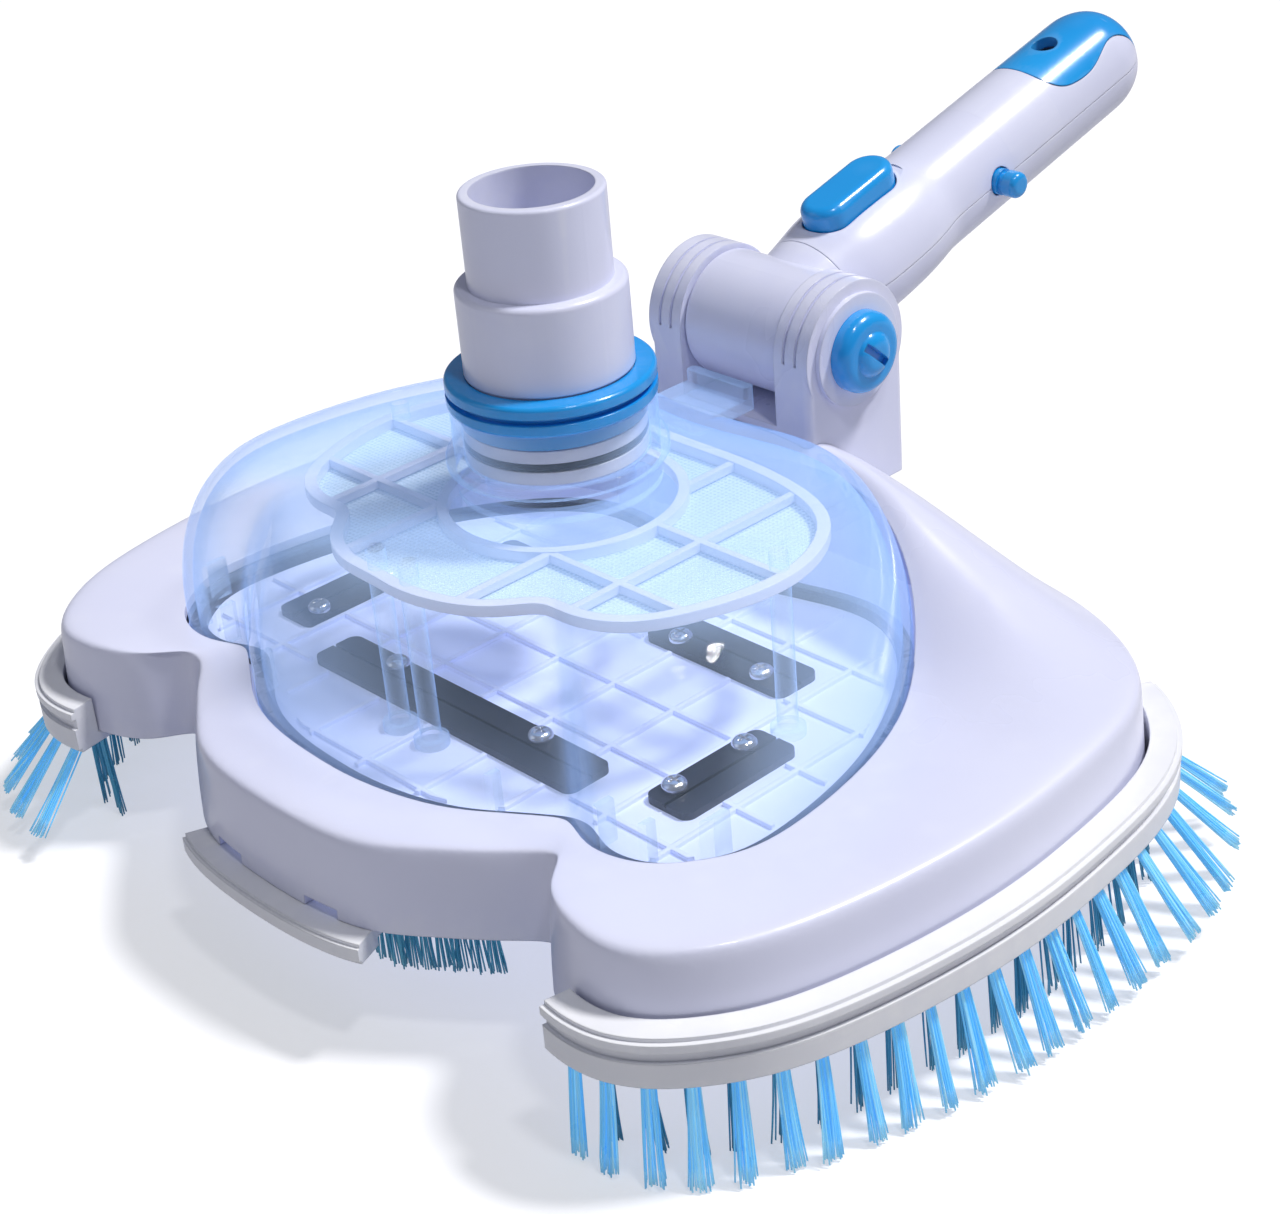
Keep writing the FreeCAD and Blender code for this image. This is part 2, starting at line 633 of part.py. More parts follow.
def side_bumper(side):
    z0, z1 = BUMPER_BOTTOM_Z, BUMPER_BOTTOM_Z + BUMPER_HEIGHT
    foot_top = BODY_BOTTOM_Z - FIT_GAP
    steps = wing_indices()
    body = fuse_all([strip(steps, FIT_GAP, BUMPER_WIDTH - 1.0, z0, z1),
                     strip(steps, FIT_GAP, BUMPER_WIDTH, z0 + 0.9, z1 - 5.4),
                     strip(steps, FIT_GAP, BUMPER_WIDTH + 0.2, z1 - 2.8, z1 - 0.9),
                     strip(steps, -BUMPER_FOOT, FIT_GAP + 1, z0, foot_top)])
    body = body.removeSplitter()
    return body if side > 0 else mirrored(body)


def front_bumper():
    foot_top = BODY_BOTTOM_Z - FIT_GAP
    z0 = foot_top - 5.0
    steps = lobe_indices(FRONT_BUMPER_HALF)
    body = fuse_all([strip(steps, -2.0, 5.0, z0, foot_top),
                     strip(steps, -1.0, 5.8, z0 + 0.9, foot_top - 0.9),
                     strip(steps, -BUMPER_FOOT, 0.0, z0 + 2, foot_top)])
    return body.removeSplitter()


def front_brush_strip():
    """Strip under the front lobe that holds the short front tufts."""
    z0, z1 = BODY_BOTTOM_Z - 3.5, BODY_BOTTOM_Z - FIT_GAP
    return strip(lobe_indices(FRONT_BRUSH_HALF), -14.0, -BUMPER_FOOT - 1.5, z0, z1)


def tuft(root, direction, length, spread):
    """One pressed-in bundle of filaments, slightly flared at its tip."""
    axis = V(direction)
    axis.normalize()
    along = V(spread)
    along.normalize()
    across = axis.cross(along)
    wires = []
    for at, size in ((-TUFT_GRIP, TUFT_ROOT), (0.0, TUFT_ROOT), (length, TUFT_TIP)):
        centre = root + axis * at
        corners = [centre + along * (sx * size[0] / 2) + across * (sy * size[1] / 2)
                   for sx, sy in ((-1, -1), (1, -1), (1, 1), (-1, 1), (-1, -1))]
        wires.append(Part.makePolygon(corners))
    return Part.makeLoft(wires, True, True)


def path_frame(indices, offset, share):
    """Position, outward direction and tangent at a share of the length of a stretch."""
    ring = outline(body_stations(), offset)
    points = [ring[i % SKIN_POINTS] for i in indices]
    steps = [(b - a).Length for a, b in zip(points, points[1:])]
    left = share * sum(steps)
    at = 0
    while left > steps[at]:
        left -= steps[at]
        at += 1
    tangent = points[at + 1] - points[at]
    tangent.normalize()
    return points[at] + tangent * left, V(tangent.y, -tangent.x, 0), tangent


def wing_tufts(side, offset, count, splay):
    """Row of tufts under a side bumper, leaning further outwards towards the rear."""
    steps = wing_indices()
    tufts = []
    for i in range(count):
        share = (i + 0.5) / count
        point, outward, tangent = path_frame(steps, offset, share)
        lean = math.radians(splay[0] + (splay[1] - splay[0]) * share ** 1.6)
        down = V(0, 0, -math.cos(lean)) + outward * math.sin(lean)
        length = BUMPER_BOTTOM_Z - TINY
        tufts.append(tuft(V(point.x, point.y, BUMPER_BOTTOM_Z), down, length, tangent))
    row = Part.makeCompound(tufts)
    return row if side > 0 else mirrored(row)


def front_tufts():
    steps = lobe_indices(FRONT_BRUSH_HALF)
    tufts = []
    for i in range(FRONT_TUFTS):
        share = (i + 0.5) / FRONT_TUFTS
        point, outward, tangent = path_frame(steps, -11.5, share)
        root = V(point.x, point.y, BODY_BOTTOM_Z - 3.5)
        tufts.append(tuft(root, V(0, 0, -1), FRONT_TUFT_LENGTH, tangent))
    return Part.makeCompound(tufts)


# ---------------------------------------------------------------- pivot bracket
def pivot_bracket():
    y0, y1 = PIVOT_Y - EAR_R, PIVOT_Y + EAR_R
    foot = slab(EAR_OUTER_X, y0, y1, BRACKET_SEAT_Z, PIVOT_Z - KNUCKLE_R - 1.2, 2.0)
    parts = [foot]
    for side in (-1, 1):
        inner, outer = sorted((side * (KNUCKLE_HALF + RUN_GAP), side * EAR_OUTER_X))
        leg = box(inner, outer, y0, y1, BRACKET_SEAT_Z + 6, PIVOT_Z)
        barrel = rod(EAR_R, outer - inner, V(inner, PIVOT_Y, PIVOT_Z), V(1, 0, 0))
        parts += [leg.common(slab(EAR_OUTER_X, y0, y1, 0, 200, 2.0)), barrel]
        disc_x = EAR_OUTER_X if side > 0 else -EAR_OUTER_X - EAR_DISC_H
        parts.append(rod(EAR_DISC_R, EAR_DISC_H, V(disc_x, PIVOT_Y, PIVOT_Z), V(1, 0, 0)))
    shape = fuse_all(parts)
    for side in (-1, 1):
        for at in (18.6, 22.2):
            x0 = side * at - 0.4
            shape = shape.cut(tube(EAR_R + 1, EAR_R - 0.7, 0.8, V(x0, PIVOT_Y, PIVOT_Z),
                                   V(1, 0, 0)).common(box(-40, 40, 0, 200, PIVOT_Z, 200)))
        shape = shape.cut(rod(1.7, 12, V(side * 16, PIVOT_Y, BRACKET_SEAT_Z - 1)))
    shape = shape.cut(rod(KNUCKLE_R + 0.8, 2 * (KNUCKLE_HALF + RUN_GAP),
                          V(-KNUCKLE_HALF - RUN_GAP, PIVOT_Y, PIVOT_Z), V(1, 0, 0)))
    shape = shape.cut(rod(PIVOT_PIN_R + FIT_GAP, 80, V(-40, PIVOT_Y, PIVOT_Z), V(1, 0, 0)))
    slot_z = PIVOT_Z - KNUCKLE_R - 5
    shape = shape.cut(box(-8, 8, y0 - 1, y0 + 5, slot_z, slot_z + 1.6))
    return shape.removeSplitter()


def bracket_screws():
    screws = []
    for side in (-1, 1):
        base = V(side * 16, PIVOT_Y, BRACKET_SEAT_Z - 4 - FIT_GAP)
        head = rod(3.6, 2.0, base - V(0, 0, 2.0))
        shank = rod(1.6, 13, base - V(0, 0, TINY))
        cross = box(base.x - 2, base.x + 2, base.y - 0.4, base.y + 0.4, base.z - 3, base.z - 1)
        screws.append(head.fuse(shank).cut(cross))
    return Part.makeCompound(screws)


def domed_disc(radius, height, base, direction):
    disc = rod(radius, height, base, V(direction, 0, 0))
    far = base.x + direction * height
    rim = [e for e in disc.Edges if abs(e.BoundBox.XMin - far) < TINY
           and e.BoundBox.XLength < TINY]
    return disc.makeFillet(height * 0.6, rim)


def pivot_bolt():
    start = EAR_OUTER_X + EAR_DISC_H + 0.02
    base = V(start, PIVOT_Y, PIVOT_Z)
    knob = domed_disc(PIVOT_KNOB_R, PIVOT_KNOB_H, base, 1)
    boss = domed_disc(PIVOT_KNOB_R * 0.62, PIVOT_KNOB_H + 1.6, base, 1)
    shank = rod(PIVOT_PIN_R, start + EAR_OUTER_X, V(-EAR_OUTER_X, PIVOT_Y, PIVOT_Z), V(1, 0, 0))
    thread = rod(PIVOT_PIN_R - 1.2, 4, V(-EAR_OUTER_X - 4 + TINY, PIVOT_Y, PIVOT_Z), V(1, 0, 0))
    slot = box(start + PIVOT_KNOB_H - 0.6, start + 20, PIVOT_Y - 4.6, PIVOT_Y + 4.6,
               PIVOT_Z - 1.0, PIVOT_Z + 1.0)
    slot.rotate(V(0, PIVOT_Y, PIVOT_Z), V(1, 0, 0), -42)
    return knob.multiFuse([boss, shank, thread]).cut(slot)


def pivot_nut():
    start = -EAR_OUTER_X - EAR_DISC_H - 0.02
    cap = domed_disc(PIVOT_KNOB_R, PIVOT_KNOB_H, V(start, PIVOT_Y, PIVOT_Z), -1)
    bore = rod(PIVOT_PIN_R - 1.1, 5, V(start - 3, PIVOT_Y, PIVOT_Z), V(1, 0, 0))
    return cap.cut(bore)


# ---------------------------------------------------------------- handle (local: Y along it)
def place(shape):
    """Move a handle piece from its own frame to the pivot, tilted up and back."""
    shape = shape.copy()
    shape.rotate(V(0, 0, 0), V(1, 0, 0), HANDLE_TILT)
    shape.translate(V(0, PIVOT_Y, PIVOT_Z))
    return shape


def section_row(along, half_x, up, down):
    """Egg-shaped ring of points across the handle at one station."""
    row = []
    for i in range(SKIN_POINTS):
        a = 2 * math.pi * i / SKIN_POINTS
        drop = (down if math.sin(a) > 0 else up) * math.sin(a)
        row.append(V(half_x * math.cos(a), drop, along))
    return row


def handle_form(inset):
    """Whole outside of the handle, moved inwards by inset."""
    r = TUBE_R - inset
    wide, top = BULGE_HALF_WIDTH - inset, BULGE_TOP - inset
    start = HOLLOW_START if inset else 2.0
    rows = [(start, r - 1.2, r - 1.5, r - 1.5), (start + 4, r - 0.8, r - 1.0, r - 1.2)]
    if inset == 0:
        rows += [(16, r + 0.6, r + 0.2, r - 0.5), (22, r + 2.0, r + 1.2, r + 0.8)]
    rows += [(27, wide, top, top - 0.4), (36, wide, top, top - 0.6),
             (43, wide - 0.3, top - 0.3, top - 1.0), (49, r + 1.2, r + 0.7, r + 0.3),
             (TUBE_START - 3, r + 0.2, r + 0.1, r), (TUBE_START, r, r, r),
             (TUBE_START + 3, r, r, r)]
    end = HANDLE_LENGTH - NOSE_LENGTH
    rows += [(end * 0.75, r, r, r), (end - 3, r, r, r), (end, r, r, r)]
    reach = NOSE_LENGTH - inset
    for turn in (25, 45, 62, 76, 88):
        small = r * math.cos(math.radians(turn))
        rows.append((end + reach * math.sin(math.radians(turn)), small, small, small))
    form = skin([section_row(*row) for row in rows])
    form.rotate(V(0, 0, 0), V(1, 0, 0), -90)
    if inset:
        return form
    stem = rod(TUBE_R, STEM_END - STEM_START, V(0, STEM_START, 0), V(0, 1, 0))
    return form.cut(box(-40, 40, STEM_START, STEM_END, -40, 40)).fuse(stem)


def cap_zone(gap):
    """Region of the handle that belongs to the coloured end cap, drawn from the side."""
    edge = Part.BSplineCurve()
    edge.interpolate([V(0, y - gap, z - gap) for y, z in CAP_PROFILE])
    first, last = edge.value(edge.FirstParameter), edge.value(edge.LastParameter)
    out_y, out_z = HANDLE_LENGTH + 10, 2 * TUBE_R
    corners = [last, V(0, out_y, last.z), V(0, out_y, out_z), V(0, first.y, out_z), first]
    lines = [Part.makeLine(a, b) for a, b in zip(corners, corners[1:])]
    zone = Part.Face(Part.Wire([edge.toShape()] + lines)).extrude(V(4 * TUBE_R, 0, 0))
    zone.translate(V(-2 * TUBE_R, 0, 0))
    return zone


def knuckle():
    body = rod(KNUCKLE_R, 2 * KNUCKLE_HALF, V(-KNUCKLE_HALF, 0, 0), V(1, 0, 0))
    rim = [e for e in body.Edges if e.BoundBox.XLength < TINY]
    return body.makeFillet(0.8, rim)


def handle_hollow():
    inner = handle_form(HANDLE_WALL)
    return inner.cut(box(-40, 40, -40, HOLLOW_START, -40, 40))


def button_opening(gap):
    return stadium(BUTTON_LENGTH + 2 * gap, BUTTON_WIDTH + 2 * gap, 30, V(0, BUTTON_Y, 2))


def handle_common(form):
    """Cuts shared by both handle shells."""
    form = form.cut(handle_hollow())
    form = form.cut(rod(CAP_HOLE_R, 60, V(0, CAP_HOLE_Y, -30)))
    for side in (-1, 1):
        form = form.cut(rod(SNAP_R + 0.35, 30, V(0, SNAP_Y, 0), V(side, 0, 0)))
    return form


def handle_lower():
    form = handle_form(0.0)
    low = form.common(box(-40, 40, -5, 200, -40, -FIT_GAP / 2))
    low = handle_common(low.cut(cap_zone(FIT_GAP)))
    root = form.common(box(-KNUCKLE_HALF, KNUCKLE_HALF, -5, ROOT_END, -40, 40))
    hub = knuckle().fuse(root)
    low = low.cut(box(-40, 40, -5, ROOT_END - 0.1, -40, 40)).fuse(hub)
    seat = tube(7.0, 3.6, 10, V(0, BUTTON_Y, -BULGE_TOP + 2))
    low = low.fuse(seat.common(form))
    return low.cut(rod(PIVOT_PIN_R + PIVOT_RUN_FIT, 60, V(-30, 0, 0), V(1, 0, 0)))


def handle_upper():
    form = handle_form(0.0)
    top = form.common(box(-40, 40, ROOT_END + FIT_GAP, 200, FIT_GAP / 2, 40))
    top = top.cut(rod(KNUCKLE_R + FIT_GAP, 80, V(-40, 0, 0), V(1, 0, 0)))
    top = handle_common(top.cut(cap_zone(FIT_GAP)))
    rim = stadium(BUTTON_LENGTH + 6, BUTTON_WIDTH + 6, 30, V(0, BUTTON_Y, BULGE_TOP - 1.4))
    top = top.cut(rim.cut(stadium(BUTTON_LENGTH + 2.4, BUTTON_WIDTH + 2.4, 40,
                                  V(0, BUTTON_Y, 0))))
    return top.cut(button_opening(RUN_GAP))


def handle_end_cap():
    form = handle_form(0.0).common(cap_zone(0.0))
    form = form.cut(handle_form(HANDLE_WALL))
    return form.cut(rod(CAP_HOLE_R, 60, V(0, CAP_HOLE_Y, -30)))


def thumb_button():
    top = BULGE_TOP + 4.2
    body = stadium(BUTTON_LENGTH, BUTTON_WIDTH, top - 5, V(0, BUTTON_Y, 5))
    crown = [e for e in body.Edges if e.BoundBox.ZMin > top - TINY]
    body = body.makeFillet(2.4, crown)
    skirt = stadium(BUTTON_LENGTH + 4, BUTTON_WIDTH + 4, 1.6, V(0, BUTTON_Y, 5))
    body = body.fuse(skirt)
    return body.cut(stadium(BUTTON_LENGTH - 5, BUTTON_WIDTH - 5, top - 5 - 4.0,
                            V(0, BUTTON_Y, 4.99)))


def coil(radius, wire_r, height, turns, base, axis_tilt):
    helix = Part.makeHelix(height / turns, height, radius)
    profile = Part.Wire([Part.makeCircle(wire_r, V(radius, 0, 0), V(0, 1, 0))])
    body = Part.Wire(helix.Edges).makePipeShell([profile], True, True)
    if axis_tilt:
        body.rotate(V(0, 0, 0), V(0, 1, 0), axis_tilt)
    body.translate(base)
    return body


def button_spring():
    """Drawn at its pressed length, standing in the seat ring of the lower shell."""
    base = V(0, BUTTON_Y, -BULGE_TOP + HANDLE_WALL + 1.2)
    return coil(2.7, 0.4, 9.5, 5, base, 0)


def snap_spring():
    """Drawn at its pressed length between the two snap pins."""
    return coil(2.4, 0.35, 2.2, 2, V(-1.1, SNAP_Y, 0), 90)


def snap_pin(side):
    axis = V(side, 0, 0)
    tail = rod(SNAP_R, SNAP_REACH - 9, V(side * 9, SNAP_Y, 0), axis)
    tip = [e for e in tail.Edges if abs(abs(e.BoundBox.XMin) - SNAP_REACH) < TINY
           and e.BoundBox.XLength < TINY]
    tail = tail.makeFillet(1.6, tip)
    collar = rod(SNAP_R + 0.8, 1.2, V(side * 9, SNAP_Y, 0), axis)
    waist = tube(SNAP_R + 1, SNAP_R - 0.7, 1.6, V(side * 15.0, SNAP_Y, 0), axis)
    return tail.cut(waist).fuse(collar)


# ---------------------------------------------------------------- write every node
def main():
    os.makedirs("parts", exist_ok=True)
    body = upper_body()
    limit = head_skin(BODY_WALL * 0.5, BODY_BOTTOM_Z - 1)
    body = body.multiFuse([boss.common(limit) for boss in screw_bosses()])
    save("upper_body", body)
    save("base_plate", base_plate())
    save("dome_gasket", dome_gasket())
    save("body_screws", body_screws())
    for name, side in (("right", 1), ("left", -1)):
        save("ballast_" + name, ballast(side))
        save("bumper_" + name, side_bumper(side))
        splay = OUTER_SPLAY if side > 0 else WORN_SPLAY
        save("bristles_outer_" + name, wing_tufts(side, 3.4, OUTER_TUFTS, splay))
        save("bristles_inner_" + name, wing_tufts(side, -3.4, INNER_TUFTS, INNER_SPLAY))
        save("snap_pin_" + name, place(snap_pin(side)))
    save("bumper_front", front_bumper())
    save("brush_strip_front", front_brush_strip())
    save("bristles_front", front_tufts())
    for entry in flap_layout():
        save(entry[0], flap(entry))
    save("flap_screws", flap_screws())
    save("dome_cover", dome_cover())
    save("filter_frame", filter_frame())
    save("filter_mesh", filter_mesh())
    save("screen_pillars", screen_pillars())
    save("retaining_ring", retaining_ring())
    save("hose_spigot", hose_spigot())
    save("spigot_seal", spigot_seal())
    save("pivot_bracket", pivot_bracket())
    save("bracket_screws", bracket_screws())
    save("pivot_bolt", pivot_bolt())
    save("pivot_nut", pivot_nut())
    save("handle_lower", place(handle_lower()))
    save("handle_upper", place(handle_upper()))
    save("handle_end_cap", place(handle_end_cap()))
    save("thumb_button", place(thumb_button()))
    save("button_spring", place(button_spring()))
    save("snap_spring", place(snap_spring()))


main()
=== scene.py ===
import json
import math
import random
import bmesh
import bpy
from mathutils import Matrix, Vector


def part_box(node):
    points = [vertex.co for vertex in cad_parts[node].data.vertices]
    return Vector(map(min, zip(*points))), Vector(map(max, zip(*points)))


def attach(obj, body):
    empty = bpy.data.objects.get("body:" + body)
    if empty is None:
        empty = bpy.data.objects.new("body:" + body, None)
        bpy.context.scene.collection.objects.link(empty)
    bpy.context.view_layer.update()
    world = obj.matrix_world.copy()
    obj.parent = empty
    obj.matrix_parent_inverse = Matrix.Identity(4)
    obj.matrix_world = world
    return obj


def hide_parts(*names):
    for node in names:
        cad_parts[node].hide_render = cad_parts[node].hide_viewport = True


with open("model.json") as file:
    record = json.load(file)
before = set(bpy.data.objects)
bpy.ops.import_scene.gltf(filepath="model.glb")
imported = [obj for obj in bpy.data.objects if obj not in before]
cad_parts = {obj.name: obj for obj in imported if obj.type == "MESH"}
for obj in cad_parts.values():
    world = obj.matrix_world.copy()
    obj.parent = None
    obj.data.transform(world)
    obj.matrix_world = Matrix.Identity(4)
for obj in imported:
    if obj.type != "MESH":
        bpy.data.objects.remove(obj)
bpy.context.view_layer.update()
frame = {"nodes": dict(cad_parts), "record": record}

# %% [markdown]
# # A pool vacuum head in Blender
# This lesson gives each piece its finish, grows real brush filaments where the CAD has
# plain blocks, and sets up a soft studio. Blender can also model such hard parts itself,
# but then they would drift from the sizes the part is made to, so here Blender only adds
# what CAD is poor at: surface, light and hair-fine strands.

nodes = frame["nodes"]
millimetre = 0.001
print("CAD pieces:", len(nodes))

# %% [markdown]
# ## Small helpers for wiring shader nodes
# A procedural finish is a little graph. `add` makes one node and fills in its settings,
# `wire` joins an output to an input, and `new_group` opens a reusable group with named
# sockets. Building graphs by hand in the editor gives the same result; a function makes
# every finish start from the same recipe.

# %% Node helpers
def add(tree, kind, inputs=None, **settings):
    """Make one shader node, set its properties and then its unlinked inputs."""
    node = tree.nodes.new(kind)
    for name, value in settings.items():
        setattr(node, name, value)
    for name, value in (inputs or {}).items():
        node.inputs[name].default_value = value
    return node


def wire(tree, source, output, target, socket):
    tree.links.new(source.outputs[output], target.inputs[socket])


def ramp(tree, low, high, inputs=None):
    """A Map Range node that stretches low..high to 0..1."""
    stretch = {"From Min": low, "From Max": high, "To Min": 0.0, "To Max": 1.0}
    return add(tree, "ShaderNodeMapRange", {**stretch, **(inputs or {})})


def new_group(name, takes, gives):
    """Open a node group; takes is {input: default number}, gives lists the outputs."""
    tree = bpy.data.node_groups.new(name, "ShaderNodeTree")
    for socket, value in takes.items():
        entry = tree.interface.new_socket(socket, in_out="INPUT", socket_type="NodeSocketFloat")
        entry.default_value = value
    for socket in gives:
        tree.interface.new_socket(socket, in_out="OUTPUT", socket_type="NodeSocketFloat")
    return tree, tree.nodes.new("NodeGroupInput"), tree.nodes.new("NodeGroupOutput")


def place_group(tree, group, **values):
    """Put a group in a material and set its inputs; spaces in names are written as _."""
    node = tree.nodes.new("ShaderNodeGroup")
    node.node_tree = group
    for name, value in values.items():
        node.inputs[name.replace("_", " ")].default_value = value
    return node


print("helpers ready")

# %% [markdown]
# ## Effect 1: moulded grain
# Injection-moulded plastic is never a perfect mirror. The steel mould leaves a very fine
# grain, and the melt cools with faint broad differences in tone. Two noise textures give
# both: a fine one for the height of the surface and a broad one for the tone. A painted
# image could do this too, but noise has no seams and follows the piece at any size.

# %% Group: moulded grain
def moulded_grain():
    tree, given, out = new_group("moulded grain", {"Fine Scale": 900.0, "Broad Scale": 14.0},
                                 ["Height", "Tone"])
    where = add(tree, "ShaderNodeTexCoord")
    fine = add(tree, "ShaderNodeTexNoise", {"Detail": 3.0, "Roughness": 0.6})
    broad = add(tree, "ShaderNodeTexNoise", {"Detail": 4.0, "Roughness": 0.55})
    spread = ramp(tree, 0.3, 0.7)
    wire(tree, where, "Object", fine, "Vector")
    wire(tree, where, "Object", broad, "Vector")
    wire(tree, given, "Fine Scale", fine, "Scale")
    wire(tree, given, "Broad Scale", broad, "Scale")
    wire(tree, broad, "Fac", spread, "Value")
    wire(tree, fine, "Fac", out, "Height")
    wire(tree, spread, "Result", out, "Tone")
    return tree


GRAIN = moulded_grain()
print("made group:", GRAIN.name)

# %% [markdown]
# ## Effect 2: handling scratches
# A tool that is dragged over tiles and dropped on decks collects hairline scratches. Noise
# stretched a hundredfold along one axis turns into long thin lines; a steep ramp keeps only
# the brightest of them. Two directions are mixed so that the lines cross.

# %% Group: hairline scratches
def hairline_scratches():
    tree, given, out = new_group("hairline scratches", {"Amount": 0.5, "Scale": 60.0}, ["Mask"])
    where = add(tree, "ShaderNodeTexCoord")
    masks = []
    for turn, stretch in ((0.5, (1.0, 0.03, 0.4)), (2.1, (0.04, 1.0, 0.5))):
        mapping = add(tree, "ShaderNodeMapping",
                      {"Rotation": (0.2, 0.1, turn), "Scale": stretch})
        noise = add(tree, "ShaderNodeTexNoise", {"Detail": 2.0, "Roughness": 0.5})
        steep = ramp(tree, 0.66, 0.72)
        wire(tree, where, "Object", mapping, "Vector")
        wire(tree, mapping, "Vector", noise, "Vector")
        wire(tree, given, "Scale", noise, "Scale")
        wire(tree, noise, "Fac", steep, "Value")
        masks.append(steep)
    either = add(tree, "ShaderNodeMath", operation="MAXIMUM")
    scaled = add(tree, "ShaderNodeMath", operation="MULTIPLY")
    tree.links.new(masks[0].outputs["Result"], either.inputs[0])
    tree.links.new(masks[1].outputs["Result"], either.inputs[1])
    tree.links.new(either.outputs[0], scaled.inputs[0])
    tree.links.new(given.outputs["Amount"], scaled.inputs[1])
    tree.links.new(scaled.outputs[0], out.inputs["Mask"])
    return tree


SCRATCHES = hairline_scratches()
print("made group:", SCRATCHES.name)

# %% [markdown]
# ## Effect 3: rubbed edges
# Corners touch things first, so they are a little polished and a little paler. Cycles can
# measure how sharply a surface turns (pointiness); a ramp keeps the sharp places and noise
# breaks the line up so the wear looks accidental.

# %% Group: rubbed edges
def rubbed_edges():
    tree, given, out = new_group("rubbed edges", {"Amount": 0.5, "Break Up": 120.0}, ["Mask"])
    shape = add(tree, "ShaderNodeNewGeometry")
    where = add(tree, "ShaderNodeTexCoord")
    noise = add(tree, "ShaderNodeTexNoise", {"Detail": 3.0})
    sharp = ramp(tree, 0.51, 0.58)
    patchy = ramp(tree, 0.35, 0.6)
    both = add(tree, "ShaderNodeMath", operation="MULTIPLY")
    scaled = add(tree, "ShaderNodeMath", operation="MULTIPLY")
    wire(tree, where, "Object", noise, "Vector")
    wire(tree, given, "Break Up", noise, "Scale")
    wire(tree, shape, "Pointiness", sharp, "Value")
    wire(tree, noise, "Fac", patchy, "Value")
    tree.links.new(sharp.outputs["Result"], both.inputs[0])
    tree.links.new(patchy.outputs["Result"], both.inputs[1])
    tree.links.new(both.outputs[0], scaled.inputs[0])
    tree.links.new(given.outputs["Amount"], scaled.inputs[1])
    tree.links.new(scaled.outputs[0], out.inputs["Mask"])
    return tree


EDGES = rubbed_edges()
print("made group:", EDGES.name)

# %% [markdown]
# ## Effect 4: dried water and dust
# Pool water dries to faint pale spots, and dust settles on what faces up. The surface
# normal's height says what faces up; round cells from a Voronoi texture are the spots.

# %% Group: settled dust
def settled_dust():
    tree, given, out = new_group("settled dust", {"Amount": 0.3, "Spot Scale": 90.0}, ["Mask"])
    shape = add(tree, "ShaderNodeNewGeometry")
    split = add(tree, "ShaderNodeSeparateXYZ")
    where = add(tree, "ShaderNodeTexCoord")
    cloud = add(tree, "ShaderNodeTexNoise", {"Scale": 40.0, "Detail": 5.0})
    spots = add(tree, "ShaderNodeTexVoronoi", feature="F1")
    upward = ramp(tree, 0.2, 1.0)
    ring = ramp(tree, 0.34, 0.05)
    mixed = add(tree, "ShaderNodeMath", operation="MULTIPLY")
    settled = add(tree, "ShaderNodeMath", operation="MULTIPLY")
    scaled = add(tree, "ShaderNodeMath", operation="MULTIPLY")
    wire(tree, shape, "Normal", split, "Vector")
    wire(tree, split, "Z", upward, "Value")
    wire(tree, where, "Object", cloud, "Vector")
    wire(tree, where, "Object", spots, "Vector")
    wire(tree, given, "Spot Scale", spots, "Scale")
    wire(tree, spots, "Distance", ring, "Value")
    tree.links.new(cloud.outputs["Fac"], mixed.inputs[0])
    tree.links.new(ring.outputs["Result"], mixed.inputs[1])
    tree.links.new(mixed.outputs[0], settled.inputs[0])
    tree.links.new(upward.outputs["Result"], settled.inputs[1])
    tree.links.new(settled.outputs[0], scaled.inputs[0])
    tree.links.new(given.outputs["Amount"], scaled.inputs[1])
    tree.links.new(scaled.outputs[0], out.inputs["Mask"])
    return tree


DUST = settled_dust()
print("made group:", DUST.name)

# %% [markdown]
# ## Moulded plastics
# One function makes every solid plastic here. The tone mask moves the colour between the
# fresh colour and a slightly deeper one, rubbed edges and dust pull it paler, scratches and
# tone move the roughness, and the grain feeds a Bump node. A Bevel node in front of the
# bump rounds the light on sharp edges by a fraction of a millimetre, as a mould would.

